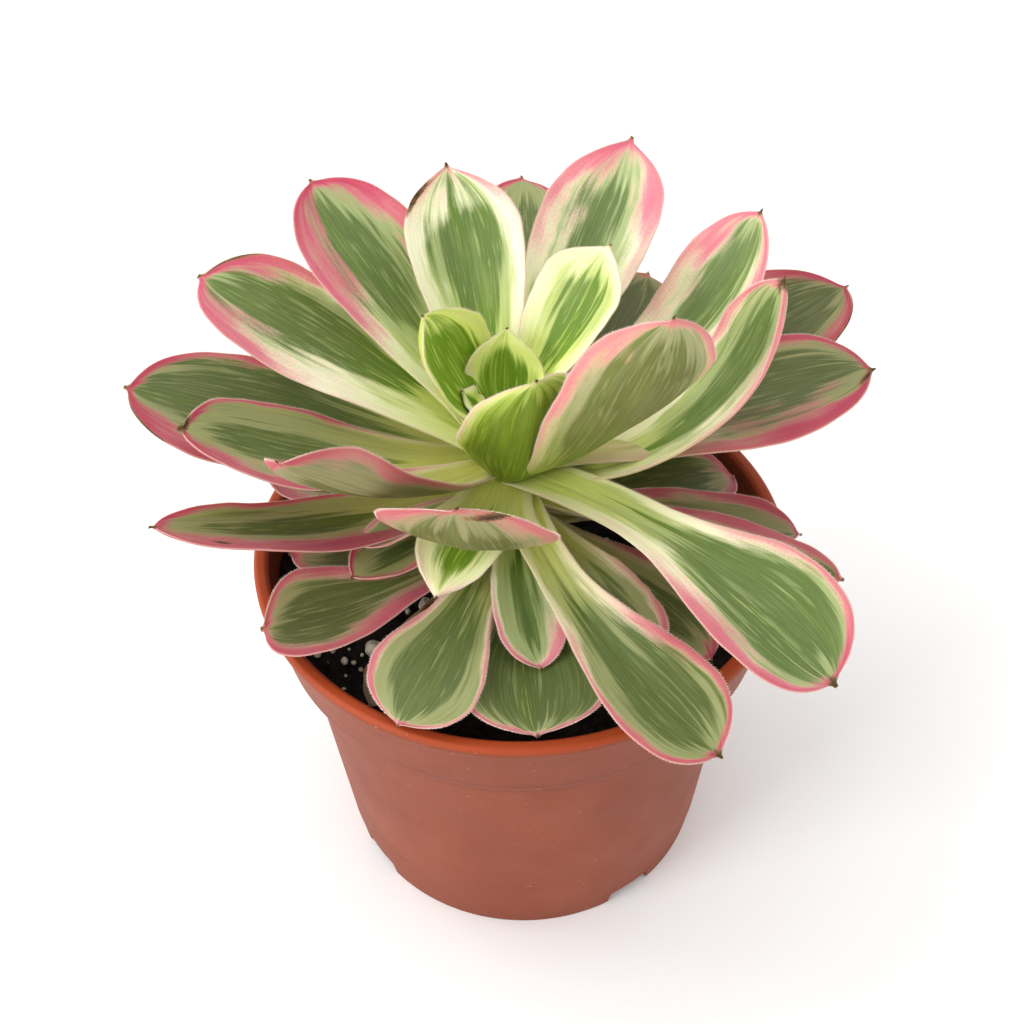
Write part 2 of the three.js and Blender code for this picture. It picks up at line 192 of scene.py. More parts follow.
def join_copies(name: str, copies: Sequence[np.ndarray], faces: Sequence[tuple[int, ...]]) -> Piece:
    """Makes one object of many copies of a form.

    Args:
        name: name for the object and its mesh.
        copies: the points of each copy, in mm.
        faces: the faces of one copy.

    Returns:
        The object.
    """
    size = len(copies[0])
    starts = range(0, size * len(copies), size)
    mesh = bpy.data.meshes.new(name)
    corners = [tuple(start + corner for corner in face) for start in starts for face in faces]
    mesh.from_pydata(np.concatenate(copies) * MM, [], corners)
    piece = bpy.data.objects.new(name, mesh)
    bpy.context.scene.collection.objects.link(piece)
    return piece


def at_stations(values: np.ndarray, stations: np.ndarray, rows: np.ndarray) -> np.ndarray:
    """Rows of three, read between stations along a line."""
    return np.stack([np.interp(values, stations, rows[:, k]) for k in range(3)], 1)


def fractal(point: Sequence[float], scale: float, seed: float) -> float:
    """Fractal noise of about -1 to 1 at a place in mm, with features of about 1 / scale mm."""
    place = Vector((point[0] * scale + seed, point[1] * scale, point[2] * scale))
    return noise.fractal(place, 1.0, 2.0, 3)


def finish_piece(piece: Piece, slot: str, nodes: Sequence[str] = ()) -> None:
    """Says which body a piece rides on, its finish and the solids that it stands for.

    Args:
        piece: the finished object.
        slot: name of the piece's material slot, which is logged.
        nodes: names of the solids that it replaces.
    """
    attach(piece, "root")
    if nodes:
        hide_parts(*nodes)
    faces = len(piece.data.polygons)
    LOG.info("%s: %d faces, slot %s, for %s", piece.name, faces, slot, list(nodes))


# ---------------------------------------------------------------- shader helpers


class Shader:
    """Adds nodes to a material or a node group and links them."""

    def __init__(self, tree: Tree) -> None:
        """Keeps the tree that nodes are added to."""
        self.tree = tree

    def feed(self, socket: Socket, value: object) -> None:
        """Links a socket into another, or sets a constant on it."""
        if isinstance(value, Socket):
            self.tree.links.new(value, socket)
        elif value is not None:
            socket.default_value = value

    def add(self, kind: str, inputs: dict | None = None, **settings: object) -> bpy.types.Node:
        """Adds a node.

        Args:
            kind: Blender's node type.
            inputs: values or sockets for its inputs, by name or place.
            settings: values for the node's own properties.

        Returns:
            The new node.
        """
        node = self.tree.nodes.new(kind)
        for key, value in settings.items():
            setattr(node, key, value)
        for key, value in (inputs or {}).items():
            self.feed(node.inputs[key], value)
        return node

    def group(self, tree: Tree, inputs: dict[str, object]) -> bpy.types.Node:
        """A node group with values or sockets for its inputs, by name."""
        return self.add("ShaderNodeGroup", inputs, node_tree=tree)

    def math(self, operation: str, first: object, second: object = None, third: object = None) -> Socket:
        """Result of a Math node."""
        node = self.add("ShaderNodeMath", {0: first, 1: second, 2: third}, operation=operation)
        return node.outputs[0]

    def step(self, value: object, low: object, high: object) -> Socket:
        """Smooth step of a value from 0 at low to 1 at high."""
        inputs = {"Value": value, "From Min": low, "From Max": high}
        node = self.add("ShaderNodeMapRange", inputs, interpolation_type="SMOOTHSTEP")
        return node.outputs["Result"]

    def mix(self, share: object, first: object, second: object, blend: str = "MIX") -> Socket:
        """Colour between two colours."""
        inputs = {"Factor": share, 6: first, 7: second}
        node = self.add("ShaderNodeMix", inputs, data_type="RGBA", blend_type=blend)
        return node.outputs[2]

    def paint(self, base: object, mask: object, strength: float, colour: object) -> Socket:
        """A base colour painted over where a mask is, at a strength."""
        return self.mix(self.math("MULTIPLY", mask, strength), base, colour)

    def noise(self, vector: object, scale: float, detail: float = 3.0, rough: float = 0.55) -> Socket:
        """Value of a Noise Texture about 0.5."""
        inputs = {"Vector": vector, "Scale": scale, "Detail": detail, "Roughness": rough}
        return self.add("ShaderNodeTexNoise", inputs).outputs["Fac"]

    def attribute(self, name: str) -> Socket:
        """Number that a mesh stores for each vertex."""
        return self.add("ShaderNodeAttribute", attribute_name=name).outputs["Fac"]

    def place(self) -> Socket:
        """Object coordinates, in metres."""
        return self.add("ShaderNodeTexCoord").outputs["Object"]

    def bump(self, height: object, distance: float, strength: float = 1.0) -> Socket:
        """Normal of a Bump node."""
        inputs = {"Height": height, "Distance": distance, "Strength": strength}
        return self.add("ShaderNodeBump", inputs).outputs["Normal"]

    def surface(self, **inputs: object) -> None:
        """Ends a material in a Principled BSDF with the given inputs, named with underscores."""
        named = {key.replace("_", " "): value for key, value in inputs.items()}
        shader = self.add("ShaderNodeBsdfPrincipled", named)
        output = self.add("ShaderNodeOutputMaterial")
        self.tree.links.new(shader.outputs[0], output.inputs["Surface"])


def new_material(name: str) -> tuple[bpy.types.Material, Shader]:
    """An empty node material and the helper that fills it."""
    material = bpy.data.materials.new(name)
    material.use_nodes = True
    material.node_tree.nodes.clear()
    return material, Shader(material.node_tree)


def new_group(
    name: str, inputs: Sequence[str], outputs: Sequence[str]
) -> tuple[Shader, dict[str, Socket], bpy.types.Node]:
    """Starts a node group.

    Args:
        name: name of the group.
        inputs: names of its inputs, where a name that ends in Colour is a colour.
        outputs: names of its outputs, by the same rule.

    Returns:
        The helper that fills it, its input sockets by name, and its output node.
    """
    tree = bpy.data.node_groups.new(name, "ShaderNodeTree")
    for direction, names in (("INPUT", inputs), ("OUTPUT", outputs)):
        for socket in names:
            kind = "NodeSocketColor" if socket.endswith("Colour") else "NodeSocketFloat"
            kind = "NodeSocketVector" if socket == "Vector" else kind
            tree.interface.new_socket(socket, in_out=direction, socket_type=kind)
    shader = Shader(tree)
    entry = shader.add("NodeGroupInput")
    return shader, {socket.name: socket for socket in entry.outputs}, shader.add("NodeGroupOutput")


def streak_group() -> Tree:
    """Noise drawn out along a leaf, in mm across and along it."""
    shader, given, result = new_group(
        "lengthwise_streaks", ("Across", "Along", "Seed", "Fineness", "Stretch"), ("Value",)
    )
    across = shader.math("MULTIPLY", given["Across"], given["Fineness"])
    share = shader.math("DIVIDE", given["Fineness"], given["Stretch"])
    along = shader.math("MULTIPLY", given["Along"], share)
    vector = shader.add("ShaderNodeCombineXYZ", {0: across, 1: along, 2: given["Seed"]}).outputs[0]
    shader.feed(result.inputs["Value"], shader.noise(vector, 1.0, 2.0, 0.5))
    return shader.tree


def speckle_group() -> Tree:
    """Scattered small specks, as a mask."""
    shader, given, result = new_group("fine_specks", ("Vector", "Fineness", "Amount"), ("Mask",))
    value = shader.noise(given["Vector"], given["Fineness"], 4.0, 0.7)
    low = shader.math("SUBTRACT", 0.78, given["Amount"])
    shader.feed(result.inputs["Mask"], shader.step(value, low, shader.math("ADD", low, 0.05)))
    return shader.tree


# ---------------------------------------------------------------- nursery pot


@dataclass(frozen=True)
class MouldedPlastic:
    """Terracotta-coloured polypropylene: satin, faintly mottled, scuffed and dusty, with painted light and
    shade.
    """

    body: Colour = srgb(130, 58, 31)
    light: Colour = srgb(142, 67, 39)
    # Rim top, brighter and more orange: painted light, as where light shines through the thin plastic.
    lip: Colour = srgb(164, 66, 28)
    # Inside of the pot, a little darker: painted shade.
    inside: Colour = srgb(124, 52, 30)
    scuff: Colour = srgb(222, 186, 166)
    # Collar's lower edge, lighter: a painted highlight.
    edge: Colour = srgb(190, 112, 84)
    # Painted shade below the collar and under the rim; also the colour of the thin mould lines.
    shade_and_seam: Colour = srgb(112, 50, 32)
    grime: Colour = srgb(58, 34, 26)
    lip_height: float = 95.0
    ledge_height: float = 77.5
    mould_lines: tuple[float, ...] = (84.5, 90.5)
    roughness: float = 0.55

    def bands(self) -> list[tuple[float, float, float, float, Colour]]:
        """Lowest and highest heights, softness, strength and colour of each band round the pot."""
        ledge, lip = self.ledge_height, self.lip_height
        return [
            # Painted shade on the body just below the collar.
            (ledge - 4.8, ledge - 0.5, 5.0, 0.85, self.shade_and_seam),
            # Painted highlight along the collar's lower edge.
            (ledge - 0.4, ledge + 0.7, 0.2, 0.8, self.edge),
            # Thin dark mould lines round the collar.
            *((line, line + 0.1, 0.35, 0.22, self.shade_and_seam) for line in self.mould_lines),
            # Painted shade just under the rim.
            (lip - 0.9, lip - 0.2, 0.6, 0.5, self.shade_and_seam),
        ]

    def material(self, specks: Tree) -> bpy.types.Material:
        """Builds the plastic.

        Args:
            specks: the group that scatters small marks.

        Returns:
            The material.
        """
        material, shader = new_material("terracotta_plastic")
        place = shader.place()
        height = shader.add("ShaderNodeSeparateXYZ", {0: place}).outputs["Z"]
        cloud = shader.noise(place, 28.0, 4.0)
        colour = shader.mix(shader.step(cloud, 0.35, 0.7), self.body, self.light)
        # The bands: painted shade, a painted highlight and the mould lines.
        for low, high, soft, strength, shade in self.bands():
            rise = shader.step(height, (low - soft) * MM, low * MM)
            fall = shader.step(height, (high + soft) * MM, high * MM)
            colour = shader.paint(colour, shader.math("MULTIPLY", rise, fall), strength, shade)
        # Painted light: the rim top brighter and more orange.
        lip = shader.step(height, (self.lip_height + 1.2) * MM, (self.lip_height + 2.6) * MM)
        colour = shader.mix(lip, colour, self.lip)
        # Painted shade: the inside a little darker.
        colour = shader.mix(shader.attribute("inside"), colour, self.inside)
        drawn = shader.add("ShaderNodeMapping", {"Vector": place, "Scale": (1.0, 1.0, 3.5)}).outputs[0]
        small = shader.group(specks, {"Vector": drawn, "Fineness": 420.0, "Amount": 0.11})
        large = shader.group(specks, {"Vector": place, "Fineness": 150.0, "Amount": 0.08})
        scuffs = shader.math("MAXIMUM", small.outputs[0], large.outputs[0])
        colour = shader.paint(colour, scuffs, 0.6, self.scuff)
        dust = shader.step(shader.noise(place, 260.0, 5.0), 0.58, 0.72)
        colour = shader.paint(colour, dust, 0.08, self.grime)
        gloss = shader.math("MULTIPLY_ADD", shader.noise(place, 90.0), 0.16, self.roughness - 0.08)
        texture = shader.noise(place, 900.0, 2.0)
        shader.surface(
            Base_Color=colour,
            Roughness=gloss,
            Normal=shader.bump(texture, 0.04 * MM),
            Specular_IOR_Level=0.25,
        )
        return material


@dataclass
class NurseryPot:
    """The moulded pot: foot ring with notches, tapered body, collar and rolled lip."""

    height: float = 98.0
    rim_radius: float = 65.0
    rim_width: float = 3.5
    rim_depth: float = 3.0
    rim_rounding: float = 0.8
    collar_top: float = 63.8
    collar_foot: float = 60.7
    collar_height: float = 20.5
    collar_rounding: float = 0.6
    body_top: float = 56.5
    foot_radius: float = 48.3
    foot_line: float = 7.0
    foot_line_step: float = 0.4
    foot_ring: float = 3.0
    boss_radius: float = 14.0
    underside_slope: float = 1.0
    floor_lift: float = 5.0
    wall: float = 1.6
    sides: int = 144
    edge_rounding: float = 0.3
    edge_angle: float = 25.0
    smooth_angle: float = 28.0
    notch_turns: tuple[float, ...] = (34.5, 124.5, 214.5, 304.5)
    notch_half_angle: float = 9.0
    notch_height: float = 4.2
    notch_taper: float = 2.0
    notch_rounding: float = 0.8
    drain_count: int = 6
    drain_radius: float = 4.5
    drain_flare: float = 0.3
    drain_ring: float = 32.0
    inside_top: float = 96.5
    plastic: MouldedPlastic = field(default_factory=MouldedPlastic)

    def body_radius(self, height: float) -> float:
        """Radius of the outside of the body at a height."""
        return lerp(self.foot_radius, self.body_top, height / (self.height - self.collar_height))

    def inside_radius(self, height: float) -> float:
        """Radius of the inside of the pot at a height."""
        ledge = self.height - self.collar_height + self.wall
        if height < ledge:
            return self.body_radius(height) - self.wall
        share = (height - ledge) / (self.height - ledge)
        return lerp(self.collar_foot - self.wall, self.rim_radius - self.rim_width, share)

    def profile(self) -> list[tuple[float, float]]:
        """Radii and heights from the boss, round the outside and down to the floor inside."""
        top, ledge = self.height, self.height - self.collar_height
        inner = self.foot_radius - self.foot_ring
        line = self.body_radius(self.foot_line)
        floor = self.floor_lift + self.wall
        roll = self.rim_rounding
        return [
            (self.boss_radius, 0.0),
            (self.boss_radius + self.underside_slope, self.floor_lift),
            (inner - self.underside_slope, self.floor_lift),
            (inner, 0.0),
            (self.foot_radius, 0.0),
            (line, self.foot_line),
            (line + self.foot_line_step, self.foot_line + self.foot_line_step),
            (self.body_top, ledge),
            (self.collar_foot - self.collar_rounding, ledge),
            (self.collar_foot, ledge + self.collar_rounding),
            (self.collar_top, top - self.rim_depth),
            (self.rim_radius - roll / 2, top - self.rim_depth),
            (self.rim_radius, top - self.rim_depth + roll),
            (self.rim_radius, top - roll),
            (self.rim_radius - roll, top),
            (self.rim_radius - self.rim_width + roll, top),
            (self.inside_radius(top - roll), top - roll),
            (self.inside_radius(ledge + self.wall), ledge + self.wall),
            (self.body_top - self.wall, ledge + self.wall),
            (self.body_radius(floor) - self.wall, floor),
            (self.boss_radius, floor),
        ]

    def turn_shell(self) -> Piece:
        """Draws the wall up from a ring by extruding and scaling its edge.

        Returns:
            The closed shell, with rounded corners.
        """
        deselect_all()
        points = self.profile()
        radius, height = points[0]
        bpy.ops.mesh.primitive_circle_add(
            vertices=self.sides, radius=radius * MM, fill_type="NGON", location=(0, 0, height * MM)
        )
        shell = take_new("nursery_pot")
        place_in_mesh(shell)
        bpy.ops.object.mode_set(mode="EDIT")
        bpy.ops.mesh.select_mode(type="EDGE")
        bpy.ops.mesh.select_all(action="SELECT")
        for last, new in zip(points, points[1:]):
            if last == points[0]:
                bpy.ops.mesh.region_to_loop()
            extrude_ring(last, new)
        bpy.ops.mesh.edge_face_add()
        bpy.ops.mesh.select_all(action="SELECT")
        bpy.ops.mesh.normals_make_consistent(inside=False)
        bpy.ops.object.mode_set(mode="OBJECT")
        apply_modifier(
            shell, "BEVEL", width=self.edge_rounding * MM, segments=2, limit_method="ANGLE",
            angle_limit=math.radians(self.edge_angle),
        )
        return shell

    def notch_cutter(self, turn: float) -> Piece:
        """A block that is narrower at its rounded top, turned to one notch."""
        x, y = polar(self.foot_radius, turn)
        half = self.foot_radius * math.radians(self.notch_half_angle)
        size = (4 * self.foot_ring * MM, 2 * half * MM, 2 * self.notch_height * MM)
        bpy.ops.mesh.primitive_cube_add(
            size=1, location=(x * MM, y * MM, 0), rotation=(0, 0, math.radians(turn)), scale=size
        )
        cutter = take_new("notch_cutter")
        share = 1 - self.notch_taper / self.notch_half_angle
        for vertex in cutter.data.vertices:
            if vertex.co.z > 0:
                vertex.co.y *= share
        place_in_mesh(cutter)
        apply_modifier(cutter, "BEVEL", width=self.notch_rounding * MM, segments=3, limit_method="ANGLE")
        return cutter

    def drain_cutter(self, turn: float) -> Piece:
        """A drill for one drain hole, slightly wider at its foot."""
        x, y = polar(self.drain_ring, turn)
        bpy.ops.mesh.primitive_cone_add(
            vertices=36,
            radius1=(self.drain_radius + self.drain_flare) * MM,
            radius2=self.drain_radius * MM,
            depth=4 * self.wall * MM,
            location=(x * MM, y * MM, (self.floor_lift + self.wall / 2) * MM),
        )
        cutter = take_new("drain_cutter")
        place_in_mesh(cutter)
        return cutter

    def build(self, specks: Tree) -> Piece:
        """Makes and dresses the pot.

        Args:
            specks: the group that scatters small marks.

        Returns:
            The finished pot.
        """
        shell = self.turn_shell()
        cutters = [self.notch_cutter(turn) for turn in self.notch_turns]
        cutters += [self.drain_cutter(360 * i / self.drain_count) for i in range(self.drain_count)]
        for cutter in cutters:
            deselect_all()
            shell.select_set(True)
            apply_modifier(shell, "BOOLEAN", operation="DIFFERENCE", object=cutter, solver="EXACT")
            bpy.data.objects.remove(cutter)
        deselect_all()
        shell.select_set(True)
        bpy.context.view_layer.objects.active = shell
        bpy.ops.object.shade_smooth_by_angle(angle=math.radians(self.smooth_angle))
        points = read_points(shell.data) / MM
        radius, height = np.hypot(points[:, 0], points[:, 1]), points[:, 2]
        limit = np.array([self.inside_radius(level) + self.wall / 2 for level in height])
        inside = (radius < limit) & (height > self.floor_lift + self.wall / 2) & (height < self.inside_top)
        write_attribute(shell.data, "inside", inside.astype(float))
        shell.data.materials.append(self.plastic.material(specks))
        finish_piece(shell, "terracotta_plastic", ["pot"])
        return shell


# ---------------------------------------------------------------- potting soil


@dataclass(frozen=True)
class SoilFinish:
    """Damp peat with bark, grit and pale perlite dust."""

    peat: Colour = srgb(38, 30, 25)
    damp: Colour = srgb(15, 13, 12)
    bark: Colour = srgb(112, 74, 44)
    grit: Colour = srgb(214, 194, 146)
    perlite: Colour = srgb(255, 246, 220)
    crumb_shade: float = 0.6

    def peat_material(self, specks: Tree) -> bpy.types.Material:
        """Builds the dark peat of the bed.

        Args:
            specks: the group that scatters small marks.

        Returns:
            The material.
        """
        material, shader = new_material("potting_soil")
        place = shader.place()
        colour = shader.mix(shader.step(shader.noise(place, 420.0, 5.0), 0.4, 0.62), self.damp, self.peat)
        dust = shader.group(specks, {"Vector": place, "Fineness": 1500.0, "Amount": 0.08})
        colour = shader.paint(colour, dust.outputs[0], 0.4, self.bark)
        shader.surface(
            Base_Color=colour,
            Roughness=shader.math("MULTIPLY_ADD", shader.noise(place, 700.0), 0.3, 0.7),
            Normal=shader.bump(shader.noise(place, 1400.0, 4.0), 0.25 * MM),
            Specular_IOR_Level=0.25,
        )
        return material

    def crumb_material(self, name: str, tint: Colour) -> bpy.types.Material:
        """Builds one kind of crumb.

        Args:
            name: name of the material.
            tint: its colour in the light.

        Returns:
            The material.
        """
        material, shader = new_material(name)
        place = shader.place()
        dark = tuple(self.crumb_shade * value for value in tint[:3]) + (1.0,)
        colour = shader.mix(shader.step(shader.noise(place, 900.0, 4.0), 0.35, 0.6), dark, tint)
        shader.surface(
            Base_Color=colour,
            Roughness=0.9,
            Normal=shader.bump(shader.noise(place, 2200.0, 3.0), 0.12 * MM),
            Specular_IOR_Level=0.2,
        )
        return material


@dataclass
class PottingSoil:
    """The soil that fills the pot, with crumbs and perlite on its uneven top."""

    pot: NurseryPot
    stem: "Stem"
    surface: float = 88.0
    gap: float = 0.3
    relief: float = 1.0
    lumps: tuple[tuple[float, float, float], ...] = ((0.9, 0.11, 3.1), (0.55, 0.5, 8.7))
    edge_relief: float = 0.35
    edge_reach: float = 4.0
    crumb_seed: int = 19
    crumb_count: int = 520
    chip_count: int = 60
    dust_count: int = 70
    rings: int = 44
    sides: int = 132
    # Turn, distance from the axis and radius of the grains that are solids, and of the finer ones.
    grains: tuple[tuple[float, float, float], ...] = (
        (-142, 44.5, 2.3),
        (-135, 45.5, 1.5),
        (-150, 27, 1.8),
        (-8, 33, 1.7),
        (30, 50, 2),
    )
    crumbs_in_view: tuple[tuple[float, float, float], ...] = (
        (-144, 51.8, 1.0), (-142, 50.4, 0.7), (-149, 52.4, 0.9), (-139, 50.3, 0.6), (-150, 24.5, 1.2),
        (-146, 30.0, 0.9), (-151, 31.5, 0.7), (-6, 23.8, 1.3), (18, 22.9, 0.9), (24, 34.5, 1.1),
        (27, 53.0, 0.8), (-38, 51.5, 0.9), (-137, 56.8, 0.5), (-146, 55.5, 0.6), (-143, 47.5, 0.5),
        (-147, 49.0, 0.4), (-140, 54.0, 0.4), (-136, 50.0, 0.6), (-134, 53.0, 0.4), (-150, 56.0, 1.1),
    )
    fine_grain: float = 1.4
    finish: SoilFinish = field(default_factory=SoilFinish)

    # Size, scale and seed of the lumps and pits that roughen crumbs and grains.
    CRUMB_LUMP = (0.3, 1.3, 5.0)
    GRAIN_LUMP, GRAIN_PIT = (0.16, 0.9, 4.0), (0.1, 3.2, 9.0)
    GRAIN_FORM, GRAIN_SIT = (1.1, 0.9, 0.75), 0.35
    CRUMB_LENGTH, CRUMB_WIDTH, CRUMB_HEIGHT = (0.8, 1.35), (0.65, 1.0), (0.8, 1.2)
    CRUMB_CROWDING, CRUMB_TILT, CRUMB_SIT = 2.5, 0.5, 0.3

    def level(self, x: float, y: float) -> float:
        """Height of the soil at a place, in mm."""
        gap = self.pot.inside_radius(self.surface) - math.hypot(x, y)
        calm = lerp(self.edge_relief, 1.0, min(1.0, max(0.0, gap / self.edge_reach)))
        lumps = sum(size * fractal((x, y, 0), scale, seed) for size, scale, seed in self.lumps)
        return self.surface + self.relief * lumps * calm

    def build_bed(self, specks: Tree) -> Piece:
        """Makes the body of the soil: a wall that follows the pot, and an uneven top.

        Args:
            specks: the group that scatters small marks.

        Returns:
            The finished bed.
        """
        deselect_all()
        outer = self.pot.inside_radius(self.surface) - self.gap
        bpy.ops.mesh.primitive_circle_add(
            vertices=self.sides, radius=outer * MM, fill_type="NOTHING", location=(0, 0, self.surface * MM)
        )
        bed = take_new("soil_bed")
        place_in_mesh(bed)
        bpy.ops.object.mode_set(mode="EDIT")
        bpy.ops.mesh.select_mode(type="EDGE")
        bpy.ops.mesh.select_all(action="SELECT")
        pot = self.pot
        ledge = pot.height - pot.collar_height + pot.wall
        floor = pot.floor_lift + pot.wall + self.gap
        walls = [
            (outer, self.surface),
            (pot.inside_radius(ledge) - self.gap, ledge + self.gap),
            (pot.body_top - pot.wall - self.gap, ledge + self.gap),
            (pot.inside_radius(floor) - self.gap, floor),
        ]
        for last, new in zip(walls, walls[1:]):
            extrude_ring(last, new)
        bpy.ops.mesh.edge_face_add()
        bpy.ops.object.mode_set(mode="OBJECT")
        top = (self.surface - 0.01) * MM
        for edge in bed.data.edges:
            edge.select = all(bed.data.vertices[v].co.z > top for v in edge.vertices)
        bpy.ops.object.mode_set(mode="EDIT")
        for ring in range(self.rings, 1, -1):
            extrude_ring((ring, self.surface), (ring - 1, self.surface))
        bpy.ops.mesh.merge(type="CENTER")
        bpy.ops.mesh.select_all(action="SELECT")
        bpy.ops.mesh.normals_make_consistent(inside=False)
        bpy.ops.object.mode_set(mode="OBJECT")
        points = read_points(bed.data)
        for point in points:
            if point[2] > top:
                point[2] = self.level(point[0] / MM, point[1] / MM) * MM
        write_points(bed.data, points)
        bpy.ops.object.shade_smooth()
        bed.data.materials.append(self.finish.peat_material(specks))
        finish_piece(bed, "potting_soil", ["soil"])
        return bed

    def crumb_form(self) -> Form:
        """A rough ball of radius 1."""
        deselect_all()
        bpy.ops.mesh.primitive_ico_sphere_add(subdivisions=1, radius=1)
        points, faces = read_form(take_new("crumb_pattern"))
        size, scale, seed = self.CRUMB_LUMP
        points *= np.array([[1 + size * fractal(point, scale, seed)] for point in points])
        return points, faces

    def scatter(self, name: str, count: int, sizes: tuple[float, float], flat: float, seed: int) -> Piece:
        """Strews crumbs over the bed, clear of the stem.

        Args:
            name: name of the object.
            count: how many crumbs.
            sizes: smallest and largest radius in mm.
            flat: height of a crumb as a share of its width.
            seed: start of the random draws.

        Returns:
            The crumbs as one object.
        """
        rng = np.random.default_rng(seed)
        pattern, faces = self.crumb_form()
        copies: list[np.ndarray] = []
        reach = self.pot.inside_radius(self.surface) - self.gap
        foot = self.stem.axis(self.surface)
        while len(copies) < count:
            size = lerp(*sizes, rng.random() ** self.CRUMB_CROWDING)
            distance, turn = (reach - 1.2 * size) * math.sqrt(rng.random()), rng.uniform(0, 2 * math.pi)
            x, y = distance * math.cos(turn), distance * math.sin(turn)
            spin = Matrix.Rotation(rng.uniform(0, 6.28), 3, "Z")
            spin = spin @ Matrix.Rotation(rng.uniform(-self.CRUMB_TILT, self.CRUMB_TILT), 3, "X")
            form = [rng.uniform(*span) for span in (self.CRUMB_LENGTH, self.CRUMB_WIDTH, self.CRUMB_HEIGHT)]
            if math.hypot(x - foot[0], y - foot[1]) < self.stem.radius + 1.3 * size:
                continue
            centre = np.array([x, y, self.level(x, y) + self.CRUMB_SIT * size * flat])
            scale = size * np.array(form) * (1, 1, flat)
            copies.append((pattern * scale) @ np.array(spin).T + centre)
        return join_copies(name, copies, faces)

    def build_crumbs(self) -> list[Piece]:
        """Makes the loose bits on the bed.

        Returns:
            Peat crumbs, bark chips and perlite dust.
        """
        kinds = (
            ("peat_crumbs", self.crumb_count, (0.35, 1.5), 0.7, "peat_crumb", self.finish.peat),
            ("bark_chips", self.chip_count, (0.3, 1.3), 0.5, "bark_chip", self.finish.bark),
            ("perlite_dust", self.dust_count, (0.2, 0.75), 0.8, "perlite_dust", self.finish.grit),
        )
        made = []
        for number, (name, count, sizes, flat, finish, tint) in enumerate(kinds):
            crumbs = self.scatter(name, count, sizes, flat, self.crumb_seed + number)
            crumbs.data.materials.append(self.finish.crumb_material(finish, tint))
            finish_piece(crumbs, "perlite" if name == "perlite_dust" else "potting_soil")
            made.append(crumbs)
        return made

    def build_grains(self) -> list[Piece]:
        """Makes the larger perlite grains, each pitted and broken in its own way.

        Returns:
            One object for each grain.
        """
        material = self.finish.crumb_material("perlite", self.finish.perlite)
        made = []
        for number, (turn, distance, radius) in enumerate(self.grains + self.crumbs_in_view, start=1):
            deselect_all()
            levels = 4 if radius > self.fine_grain else 3
            bpy.ops.mesh.primitive_ico_sphere_add(subdivisions=levels, radius=radius * MM)
            grain = take_new(f"perlite_grain_pitted_{number}")
            points = read_points(grain.data) / MM
            for point in points:
                lump, pit = (
                    size * fractal(point, scale / radius, seed * number)
                    for size, scale, seed in (self.GRAIN_LUMP, self.GRAIN_PIT)
                )
                point *= 1 + lump - abs(pit)
            points *= self.GRAIN_FORM
            spin = np.array(Matrix.Rotation(math.radians(3 * turn), 3, "Z"))
            middle = (*polar(distance, turn), self.surface + self.GRAIN_SIT * radius)
            write_points(grain.data, (points @ spin.T + middle) * MM)
            bpy.ops.object.shade_smooth()
            grain.data.materials.append(material)
            solids = [f"perlite_grain_{number}"] if number <= len(self.grains) else []
            finish_piece(grain, "perlite", solids)
            made.append(grain)
        return made


# ---------------------------------------------------------------- stem


